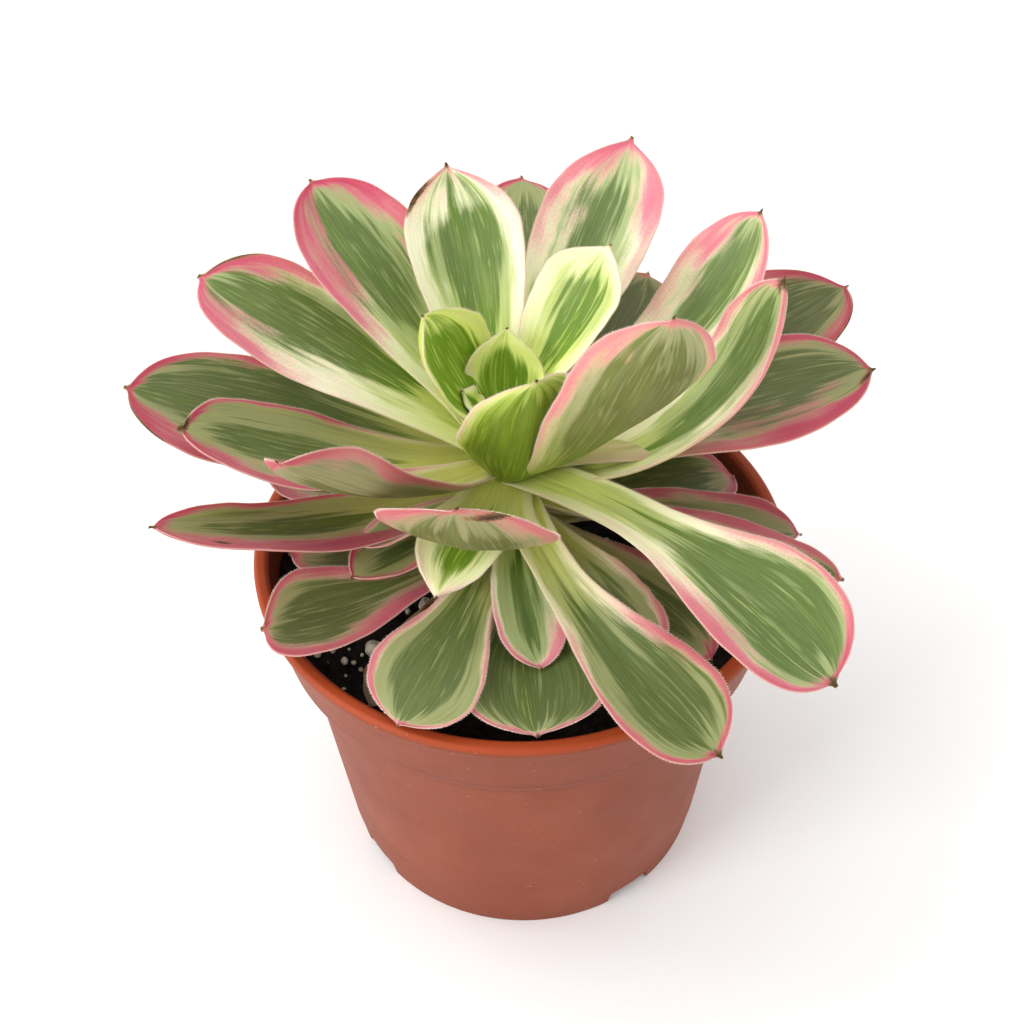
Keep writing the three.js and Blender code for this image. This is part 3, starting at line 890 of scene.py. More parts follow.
@dataclass
class Stem:
    """The short leaning stem, ringed by the scars of old leaves."""

    foot: tuple[float, float, float] = (2.0, -2.0, 88.0)
    tip: tuple[float, float, float] = (-4.5, 4.0, 135.0)
    depth: float = 30.0
    radius: float = 7.0
    tip_radius: float = 3.0
    taper_start: float = 110.0
    sides: int = 40
    rings: int = 90
    smooth_angle: float = 50.0
    fullness: float = 0.97
    roughness: float = 0.03
    scar_depth: float = 0.05
    scar_pitch: float = 2.1
    scar_starts: int = 3
    skin: Colour = srgb(146, 150, 84)
    scar: Colour = srgb(112, 88, 58)

    def axis(self, height: float) -> np.ndarray:
        """Middle of the stem at a height."""
        foot, tip = np.array(self.foot), np.array(self.tip)
        return foot + (tip - foot) * (height - self.foot[2]) / (self.tip[2] - self.foot[2])

    def radius_at(self, height: float) -> float:
        """Radius of the stem at a height."""
        share = (height - self.taper_start) / (self.tip[2] - self.taper_start)
        return lerp(self.radius, self.tip_radius, min(1.0, max(0.0, share)))

    def build(self) -> Piece:
        """Makes and dresses the stem.

        Returns:
            The finished stem.
        """
        deselect_all()
        low, high = self.foot[2] - self.depth, self.tip[2]
        bpy.ops.mesh.primitive_cylinder_add(
            vertices=self.sides, radius=1, depth=high - low, location=(0, 0, (low + high) / 2)
        )
        stem = take_new("scarred_stem")
        place_in_mesh(stem)
        bpy.ops.object.mode_set(mode="EDIT")
        bpy.ops.mesh.select_all(action="DESELECT")
        bpy.ops.object.mode_set(mode="OBJECT")
        for edge in stem.data.edges:
            first, second = (stem.data.vertices[v].co for v in edge.vertices)
            edge.select = abs(first.z - second.z) > 1
        bpy.ops.object.mode_set(mode="EDIT")
        bpy.ops.mesh.select_mode(type="EDGE")
        bpy.ops.mesh.subdivide_edgering(number_cuts=self.rings, interpolation="LINEAR", smoothness=0)
        bpy.ops.object.mode_set(mode="OBJECT")
        points = read_points(stem.data)
        for point in points:
            height = point[2]
            turn = math.atan2(point[1], point[0])
            scar = 0.5 + 0.5 * math.sin(self.scar_pitch * height + self.scar_starts * turn)
            rough = self.roughness * fractal((math.cos(turn) * 4, math.sin(turn) * 4, height), 0.5, 2.0)
            point[:2] *= self.radius_at(height) * (self.fullness - self.scar_depth * scar ** 3 + rough)
            point[:2] += self.axis(height)[:2]
        write_points(stem.data, points * MM)
        bpy.ops.object.shade_smooth_by_angle(angle=math.radians(self.smooth_angle))
        material, shader = new_material("stem_skin")
        place = shader.place()
        share = shader.step(shader.noise(place, 330.0, 4.0), 0.42, 0.62)
        shader.surface(
            Base_Color=shader.mix(share, self.skin, self.scar),
            Roughness=shader.math("MULTIPLY_ADD", share, 0.2, 0.6),
            Normal=shader.bump(shader.noise(place, 900.0), 0.2 * MM),
        )
        stem.data.materials.append(material)
        finish_piece(stem, "stem_skin", ["stem"])
        return stem


# ---------------------------------------------------------------- leaf finishes


class BladeFace(Enum):
    """The two faces of a leaf."""

    UPPER = "upper"
    UNDER = "under"


@dataclass(frozen=True)
class BladePalette:
    """Colours and contrasts of one face of a variegated leaf."""

    face: BladeFace
    deep: Colour
    sage: Colour
    lime: Colour
    pale_lime: Colour
    cream: Colour
    peach: Colour
    rose: Colour
    crimson: Colour
    dark: Colour
    rim: Colour = srgb(246, 236, 222)
    dry: Colour = srgb(72, 48, 34)
    pale_dry: Colour = srgb(166, 124, 84)
    streak_contrast: float = 1.0
    roughness: float = 0.46

    # The mesh attributes and the colours that the pattern reads.
    MARKS = ("seed", "edge", "margin", "blush", "shade", "pale", "lime", "dry")
    COLOURS = (
        "deep", "sage", "lime", "pale_lime", "cream", "peach", "rose", "crimson", "dark", "rim", "dry",
        "pale_dry",
    )

    @staticmethod
    def socket(name: str) -> str:
        """Name of the pattern's input for one of the colours."""
        return name.replace("_", " ").title() + " Colour"

    def material(self, pattern: Tree) -> bpy.types.Material:
        """Builds the skin of this face.

        Args:
            pattern: the group that draws the variegation.

        Returns:
            The material.
        """
        material, shader = new_material(f"leaf_{self.face.value}")
        uv = shader.add("ShaderNodeUVMap", uv_map=VariegatedLeaf.UV_NAME).outputs[0]
        split = shader.add("ShaderNodeSeparateXYZ", {0: uv})
        values = {
            "Across": shader.math("MULTIPLY_ADD", split.outputs[0], UV_REACH, -UV_REACH / 2),
            "Along": shader.math("MULTIPLY", split.outputs[1], UV_REACH),
            "Contrast": self.streak_contrast,
        }
        values.update({name.title(): shader.attribute(name) for name in self.MARKS})
        values.update({self.socket(name): getattr(self, name) for name in self.COLOURS})
        drawn = shader.group(pattern, values)
        shader.surface(
            Base_Color=drawn.outputs["Colour"],
            Roughness=shader.math("ADD", drawn.outputs["Roughness"], self.roughness),
            Normal=shader.bump(drawn.outputs["Height"], 0.22 * MM),
            Specular_IOR_Level=0.38,
            Subsurface_Weight=0.3,
            Subsurface_Radius=(0.9, 1.0, 0.35),
            Subsurface_Scale=2.4 * MM,
        )
        return material


class StreakKind(Enum):
    """Kinds of lengthwise noise: streaks in a mm across, stretch along the leaf, and seed."""

    LOBES = (0.11, 2.4, 3.9)
    BROAD = (0.16, 10.0, 0.0)
    MEDIUM = (0.5, 20.0, 7.3)
    FINE = (1.5, 30.0, 13.7)
    HAIR = (3.4, 36.0, 17.9)
    RAGGED = (0.6, 6.0, 21.1)
    DASH = (1.3, 13.0, 27.3)
    PATCH = (0.13, 2.0, 29.9)
    GRAIN = (3.0, 1.3, 31.9)


def pattern_group(streaks: Tree) -> Tree:
    """Draws a leaf's variegation from where a point lies on the blade.

    Args:
        streaks: the group of lengthwise noise.

    Returns:
        The group, which puts out a colour, an addition to the roughness and a height.
    """
    names = ["Across", "Along", "Contrast", *(name.title() for name in BladePalette.MARKS)]
    names += [BladePalette.socket(name) for name in BladePalette.COLOURS]
    shader, given, result = new_group("variegated_blade", names, ("Colour", "Roughness", "Height"))

    def streak(kind: StreakKind) -> Socket:
        """One kind of lengthwise noise about 0.5."""
        fineness, stretch, offset = kind.value
        values = {
            "Across": given["Across"],
            "Along": given["Along"],
            "Seed": shader.math("ADD", given["Seed"], offset),
            "Fineness": fineness,
            "Stretch": stretch,
        }
        return shader.group(streaks, values).outputs[0]

    def shifted(value: object, *waves: tuple[Socket, float]) -> Socket:
        """A value pushed up and down by noises about 0.5, each by its own amount."""
        for wave, amount in waves:
            value = shader.math("MULTIPLY_ADD", shader.math("SUBTRACT", wave, 0.5), amount, value)
        return value

    def times(first: object, second: object) -> Socket:
        """Product of two values."""
        return shader.math("MULTIPLY", first, second)

    lobes, broad, medium, fine, hair, ragged, dash, patch, grain = map(streak, StreakKind)

    wide = times(given["Margin"], shifted(1.0, (lobes, 2.0)))
    zone = shader.math("DIVIDE", given["Edge"], shader.math("MAXIMUM", wide, 0.05))
    frayed = shifted(zone, (ragged, 1.3), (medium, 0.9), (fine, 0.5))
    green = shader.step(shifted(frayed, (grain, 0.25)), 0.5, 1.5)

    # Deep green fills the middle; sage lies beside the margin and in the short dashes over the green.
    middle = shader.math("SUBTRACT", given["Edge"], given["Margin"])
    depth = shifted(times(middle, 0.28), (broad, 4.6), (medium, 3.4), (fine, 1.0))
    # Pale takes deep green out; near the base it carries each leaf's glow: partly the base's own paler
    # green, partly painted glow of light through the thin base.
    deep = shader.step(shader.math("SUBTRACT", depth, given["Pale"]), -0.3, 0.7)
    dashes = times(shader.step(dash, 0.52, 0.64), shader.step(patch, 0.4, 0.58))
    flecks = times(shader.step(fine, 0.58, 0.68), 0.35)
    light = shader.math("MAXIMUM", times(dashes, 0.52), flecks)
    deep = times(deep, shader.math("SUBTRACT", 1.0, light))
    deep = shifted(deep, (hair, 0.5), (fine, 1.1), (patch, 0.6), (grain, 0.2))
    soft = shader.math("MULTIPLY_ADD", shader.math("SUBTRACT", deep, 0.5), given["Contrast"], 0.5)

    leafy = shader.mix(soft, given["Sage Colour"], given["Deep Colour"])
    limy = shader.mix(soft, given["Pale Lime Colour"], given["Lime Colour"])
    inner = shader.mix(shifted(given["Lime"], (medium, 0.7), (broad, 0.5)), leafy, limy)

    # The margin is cream beside the green, then peach, and rose towards the edge and the tip.
    flush = shifted(given["Blush"], (lobes, 1.0), (ragged, 0.35), (grain, 0.5))
    flush = shader.math("SUBTRACT", flush, times(shader.step(frayed, 0.1, 1.3), 0.7))
    yellow = times(shader.step(given["Lime"], -0.2, 1.6), 0.85)
    cream = shader.mix(yellow, given["Cream Colour"], given["Pale Lime Colour"])
    margin = shader.mix(shader.step(flush, -0.2, 0.35), cream, given["Peach Colour"])
    margin = shader.mix(shader.step(flush, 0.05, 0.85), margin, given["Rose Colour"])
    margin = shader.mix(shader.step(flush, 0.7, 1.6), margin, given["Crimson Colour"])
    colour = shader.mix(green, margin, inner)

    # Each leaf's shade darkens and warms it: partly the olive tone of older leaves, partly painted shade on
    # the lower leaves.
    colour = shader.mix(given["Shade"], colour, given["Dark Colour"], "MULTIPLY")
    colour = shader.paint(colour, shader.step(given["Edge"], 0.3, 0.08), 0.2, given["Rim Colour"])

    parched = shader.step(shifted(given["Dry"], (ragged, 0.5), (grain, 0.5)), 0.4, 0.6)
    bark = shader.mix(shader.step(grain, 0.42, 0.6), given["Dry Colour"], given["Pale Dry Colour"])
    bark = shader.mix(shader.step(given["Dry"], 0.55, 0.9), bark, given["Dry Colour"])
    colour = shader.mix(parched, colour, bark)

    shader.feed(result.inputs["Colour"], colour)
    rough = shader.math("MULTIPLY_ADD", parched, 0.35, times(grain, 0.12))
    shader.feed(result.inputs["Roughness"], rough)
    ridges = shader.math("MULTIPLY_ADD", fine, 0.4, times(medium, 0.5))
    ridges = shader.math("MULTIPLY_ADD", hair, 0.15, ridges)
    shader.feed(result.inputs["Height"], shader.math("MULTIPLY_ADD", grain, 0.1, ridges))
    return shader.tree


UPPER_FACE = BladePalette(
    face=BladeFace.UPPER,
    deep=srgb(98, 120, 58),
    sage=srgb(168, 182, 122),
    lime=srgb(112, 150, 16),
    pale_lime=srgb(232, 244, 128),
    cream=srgb(255, 253, 216),
    peach=srgb(252, 224, 200),
    rose=srgb(222, 130, 142),
    crimson=srgb(202, 70, 104),
    # dark: the tint of each leaf's shade, partly olive tone and partly painted shade.
    dark=srgb(176, 132, 118),
)
UNDER_FACE = BladePalette(
    face=BladeFace.UNDER,
    deep=srgb(108, 114, 52),
    sage=srgb(170, 170, 120),
    lime=srgb(112, 138, 20),
    pale_lime=srgb(178, 198, 76),
    cream=srgb(232, 222, 168),
    peach=srgb(232, 190, 160),
    rose=srgb(226, 142, 142),
    crimson=srgb(206, 92, 104),
    # dark: the tint of each leaf's shade, partly olive tone and partly painted shade.
    dark=srgb(160, 128, 112),
    streak_contrast=0.8,
    roughness=0.5,
)


# ---------------------------------------------------------------- rosette


class BladeForm(Enum):
    """Where a blade is widest, as a share of its length."""

    SPOON = 0.7
    OVAL = 0.54
    BLUNT = 0.8


@dataclass(frozen=True)
class Scar:
    """A dried mark: its place across and along the blade, and its reach each way in mm."""

    u: float
    t: float
    across: float
    along: float


@dataclass(frozen=True)
class LeafLook:
    """How one leaf is marked.

    cw and ccw are its margins on the clockwise and the anticlockwise side, seen from above. These,
    the margin at the tip and the dry tip are in mm. pink_from is the share of the length past which
    the margin is pink. blush, shade, pale and lime say how pink the margin, how dark the blade, how
    pale its green and how yellow it is. shade is partly the olive tone of older leaves and partly
    painted shade on the lower leaves. glow says how much paler the base is than the blade: partly its
    own paler green, partly painted glow of light through the thin base.
    """

    cw: float = 3.0
    ccw: float = 3.0
    tip: float = 3.0
    blush: float = 0.9
    pink_from: float = 0.5
    shade: float = 0.0
    pale: float = 0.6
    lime: float = 0.0
    dry: float = 0.9
    glow: float = 2.2
    scars: tuple[Scar, ...] = ()


@dataclass(frozen=True)
class Leaf:
    """One leaf, by the values that shape its solid, in mm and degrees."""

    name: str
    root: float
    turn: float
    rise: float
    bend: float
    sway: float
    length: float
    width: float
    roll: float
    fold: float
    phase: float
    look: LeafLook

    OVAL = re.compile(r"^(heart_leaf_\d|inner_leaf_1|outer_leaf_1|small_leaf_3)$")
    BLUNT = re.compile(r"^(lower_leaf_(6|8|11)|outer_leaf_(4|6))$")
    POINTED = re.compile(r"^(heart_leaf_[345]|inner_leaf_[478]|small_leaf_3)$")
    BLUNT_FLARE = 4
    NECK = 0.38
    TIP_START = 0.985
    TIP_POINT = 0.012
    TIP_SLOPE = 2.2
    TIP_CURVE = 2.6
    TIP_BLUNTNESS = 0.6
    POINTED_BLUNTNESS = 1.0
    BEND_POWER = 1.2
    SPINE_STEPS = 100
    ROOT_SINK = 0.6

    @property
    def form(self) -> BladeForm:
        """Where this leaf is widest."""
        if self.OVAL.match(self.name):
            return BladeForm.OVAL
        return BladeForm.BLUNT if self.BLUNT.match(self.name) else BladeForm.SPOON

    def half_width(self, t: np.ndarray) -> np.ndarray:
        """Half the width at shares t of the length."""
        widest = self.form.value
        bluntness = self.POINTED_BLUNTNESS if self.POINTED.match(self.name) else self.TIP_BLUNTNESS
        beyond = np.clip((t - widest) / (self.TIP_START - widest), 0, 1)
        rounded = (1 - beyond ** self.TIP_CURVE) ** bluntness
        tip = np.minimum(self.TIP_POINT + self.TIP_SLOPE * (1 - t), 1)
        opening = ease(t / widest) ** (self.BLUNT_FLARE if self.form is BladeForm.BLUNT else 1)
        share = np.where(t < widest, lerp(self.NECK, 1, opening), np.maximum(rounded, tip))
        return share * self.width / 2

    def spine(self, stem: Stem) -> tuple[np.ndarray, np.ndarray, np.ndarray, np.ndarray]:
        """Middle line of the leaf.

        Args:
            stem: the stem that it grows from.

        Returns:
            Shares of the length, places, and directions to the side and out of the upper face.
        """
        t = np.linspace(0, 1, self.SPINE_STEPS + 1)
        rise = np.radians(self.rise + self.bend * t ** self.BEND_POWER)
        heading = np.radians(self.turn + self.sway * t)
        level = np.cos(rise)
        along = np.stack([level * np.cos(heading), level * np.sin(heading), np.sin(rise)], 1)
        side = np.stack([-np.sin(heading), np.cos(heading), np.zeros_like(t)], 1)
        roll = (np.radians(self.roll) * ease(t))[:, None]
        side = side * np.cos(roll) + np.cross(along, side) * np.sin(roll)
        turn = math.radians(self.turn)
        outward = np.array([math.cos(turn), math.sin(turn), 0])
        root = stem.axis(self.root) + outward * self.ROOT_SINK * stem.radius_at(self.root)
        steps = along * self.length / self.SPINE_STEPS
        steps[0] = root
        return t, np.cumsum(steps, 0), side, np.cross(along, side)


@dataclass
class VariegatedLeaf:
    """Makes one leaf as a thick blade with a toothed margin."""

    leaf: Leaf
    stem: Stem
    across: int = 20
    along: int = 64
    tip_crowding: float = 1.25
    root_thickness: float = 2.2
    blade_thickness: float = 1.5
    edge_share: float = 0.3
    tip_share: float = 0.2
    tip_reach: float = 4.0
    wave_height: float = 0.7
    wave_count: float = 2.5
    crease: float = 0.35
    crease_width: float = 0.14
    crease_blend: float = 0.3
    crumple: float = 0.0
    unevenness: float = 0.09
    outline_steps: int = 240
    tooth_spacing: float = 0.57
    tooth_jitter: float = 0.12
    tooth_height: float = 0.32
    tooth_sink: float = 0.25
    tooth_base: tuple[float, float] = (0.3, 0.26)
    toothed: tuple[float, float] = (0.14, 0.985)

    UV_NAME = "blade"
    THICKNESS_GROUP = "thickness"

    # Shares of the length at which the markings change, and how far they change there.
    BASE_MARGIN, GROWN_AT = 0.4, 0.55
    TIP_MARGIN, TIP_FROM, TIP_BLEND = 0.6, 0.82, 0.16
    FLUSH_BLEND = 0.4
    TIP_FLUSH, TIP_FLUSH_FROM, TIP_FLUSH_BLEND = 0.35, 0.8, 0.2
    LIME_TO, GLOW_TO = 0.65, 0.6

    def places(self, u: np.ndarray, t: np.ndarray) -> np.ndarray:
        """Places on the middle surface of the blade.

        Args:
            u: places across, from -1 to 1.
            t: shares of the length.

        Returns:
            Rows of x, y and z in mm.
        """
        stations, *rows = self.leaf.spine(self.stem)
        point, side, face = (at_stations(t, stations, row) for row in rows)
        fold, phase = math.radians(self.leaf.fold), self.leaf.phase
        nibble = np.sin(61 * t + 9 * phase + 2 * u) + np.sin(37 * t - 5 * phase * u)
        half = self.leaf.half_width(t) + self.unevenness * nibble * t
        swell = self.wave_height * t * u ** 2
        wave = swell * np.sin(2 * np.pi * self.wave_count * t + phase + u)
        ends = ease(t / self.crease_blend) * ease((1 - t) / self.crease_blend)
        crease = self.crease * np.exp(-((u / self.crease_width) ** 2)) * ends
        lift = half * (1 - np.cos(fold * u)) / fold + wave - crease
        return point + side * (half * np.sin(fold * u) / fold)[:, None] + face * lift[:, None]

    def edge_distance(self, u: np.ndarray, t: np.ndarray) -> np.ndarray:
        """Distance in mm from places on the flat blade to its outline."""
        rim = np.linspace(0, 1, self.outline_steps)
        half, length = self.leaf.half_width(rim), rim * self.leaf.length
        outline = np.concatenate([np.stack([half, length], 1), np.stack([-half, length], 1)])
        flat = np.stack([u * self.leaf.half_width(t), t * self.leaf.length], 1)
        gap = np.linalg.norm(flat[:, None, :] - outline[None, :, :], axis=2).min(1)
        return np.where(np.abs(u) > 0.999, 0.0, gap)

    def mark(self, mesh: bpy.types.Mesh, u: np.ndarray, t: np.ndarray) -> None:
        """Stores what the skin's pattern reads at each vertex.

        Args:
            mesh: the blade.
            u: each vertex's place across.
            t: each vertex's share of the length.
        """
        look, leaf = self.leaf.look, self.leaf
        side = lerp(look.cw, look.ccw, ease(0.5 + 2 * u))
        side = side * lerp(self.BASE_MARGIN, 1.0, ease(t / self.GROWN_AT))
        flush = ease((t - look.pink_from + self.FLUSH_BLEND / 2) / self.FLUSH_BLEND)
        tip_flush = 1 + self.TIP_FLUSH * ease((t - self.TIP_FLUSH_FROM) / self.TIP_FLUSH_BLEND)
        half, end = leaf.half_width(t), (1 - t) * leaf.length
        gaps = [(end + np.abs(u) * half) / (look.dry + 1e-3)]
        for scar in look.scars:
            across, along = (u - scar.u) * half / scar.across, (t - scar.t) * leaf.length / scar.along
            gaps.append(np.hypot(across, along))
        values = {
            "edge": self.edge_distance(u, t),
            "margin": lerp(side, self.TIP_MARGIN * look.tip, ease((t - self.TIP_FROM) / self.TIP_BLEND)),
            "blush": look.blush * flush * tip_flush,
            "lime": np.maximum(1 - ease(t / self.LIME_TO), 0) + look.lime,
            "dry": np.clip(1 - np.minimum.reduce(gaps) / 2, 0, 1),
            "seed": np.full_like(t, 17.0 * leaf.phase),
            "shade": np.full_like(t, look.shade),
            # The glow: a paler base, partly its own paler green and partly painted glow of light through
            # it.
            "pale": look.pale + look.glow * (1 - ease(t / self.GLOW_TO)),
        }
        for name, numbers in values.items():
            write_attribute(mesh, name, numbers)

    def blade(self) -> Piece:
        """Shapes a grid to the leaf, and gives it its thickness and a round edge.

        Returns:
            The smooth blade, with its upper and under skins in slots 0 and 1.
        """
        deselect_all()
        bpy.ops.mesh.primitive_grid_add(x_subdivisions=self.across, y_subdivisions=self.along, size=2)
        blade = take_new(f"{self.leaf.name}_blade")
        mesh = blade.data
        flat = read_points(mesh)
        u, t = -flat[:, 0], (flat[:, 1] + 1) / 2
        t = 1 - (1 - t) ** self.tip_crowding
        places = self.places(u, t)
        if self.crumple:
            shifts = [[fractal(p, 0.12, k * 7.0) for k in range(3)] for p in places]
            places = places + self.crumple * np.array(shifts) * t[:, None]
        write_points(mesh, places * MM)
        self.mark(mesh, u, t)
        layer = mesh.uv_layers[0]
        layer.name = self.UV_NAME
        corners = np.empty(len(mesh.loops), dtype=np.int32)
        mesh.loops.foreach_get("vertex_index", corners)
        width, length = self.leaf.width / UV_REACH, self.leaf.length / UV_REACH
        chart = np.stack([0.5 + u * width / 2, t * length], 1)
        layer.uv.foreach_set("vector", chart[corners].astype(np.float32).ravel())
        middle = lerp(self.root_thickness, self.blade_thickness, ease(2 * t))
        thickness = middle * lerp(1, self.edge_share, u * u)
        thickness = thickness * lerp(self.tip_share, 1.0, ease((1 - t) * self.leaf.length / self.tip_reach))
        group = blade.vertex_groups.new(name=self.THICKNESS_GROUP)
        for index, weight in enumerate(thickness / self.root_thickness):
            group.add([index], float(weight), "REPLACE")
        for face in BladeFace:
            mesh.materials.append(bpy.data.materials[f"leaf_{face.value}"])
        apply_modifier(
            blade, "SOLIDIFY", thickness=self.root_thickness * MM, offset=0.0,
            vertex_group=self.THICKNESS_GROUP, material_offset=1, material_offset_rim=1,
        )
        apply_modifier(blade, "SUBSURF", levels=1, render_levels=1)
        blade.select_set(True)
        bpy.ops.object.shade_smooth()
        return blade

    def tooth(self) -> Form:
        """A pointed tooth that is 1 wide and 1 high."""
        deselect_all()
        bpy.ops.mesh.primitive_cone_add(vertices=4, radius1=0.5, radius2=0, depth=1, location=(0, 0, 0.5))
        cone = take_new("tooth_pattern")
        place_in_mesh(cone)
        return read_form(cone)

    def teeth(self) -> Piece:
        """Sets the fine teeth along both margins.

        Returns:
            The teeth as one object.
        """
        pattern, faces = self.tooth()
        rng = np.random.default_rng(int(1000 * self.leaf.phase))
        copies: list[np.ndarray] = []
        t = np.linspace(*self.toothed, 500)
        for edge in (-1.0, 1.0):
            rim = self.places(np.full_like(t, edge), t)
            inner = self.places(np.full_like(t, edge * 0.96), t)
            run = np.concatenate([[0], np.cumsum(np.linalg.norm(np.diff(rim, axis=0), axis=1))])
            stops = np.arange(0.2, run[-1], self.tooth_spacing)
            stops = stops + rng.uniform(-self.tooth_jitter, self.tooth_jitter, len(stops))
            places, roots = at_stations(stops, run, rim), at_stations(stops, run, inner)
            for place, root, ahead in zip(places, roots, at_stations(stops + 0.3, run, rim)):
                outward = (place - root) / (np.linalg.norm(place - root) + 1e-9)
                forward = ahead - place
                forward = forward - outward * forward.dot(outward)
                forward = forward / (np.linalg.norm(forward) + 1e-9)
                height = self.tooth_height * rng.uniform(0.7, 1.15)
                shape = pattern * (*self.tooth_base, height + self.tooth_sink)
                axes = np.stack([forward, np.cross(forward, outward), outward + 0.25 * forward])
                copies.append(place - self.tooth_sink * outward + shape @ axes)
        teeth = join_copies("teeth", copies, faces)
        teeth.data.materials.append(bpy.data.materials["leaf_teeth"])
        return teeth

    def build(self, slot: str) -> Piece:
        """Makes and dresses the leaf.

        Args:
            slot: name of the leaf's material slot.

        Returns:
            The finished leaf.
        """
        blade = self.blade()
        join_pieces(blade, self.teeth())
        finish_piece(blade, slot, [self.leaf.name])
        return blade


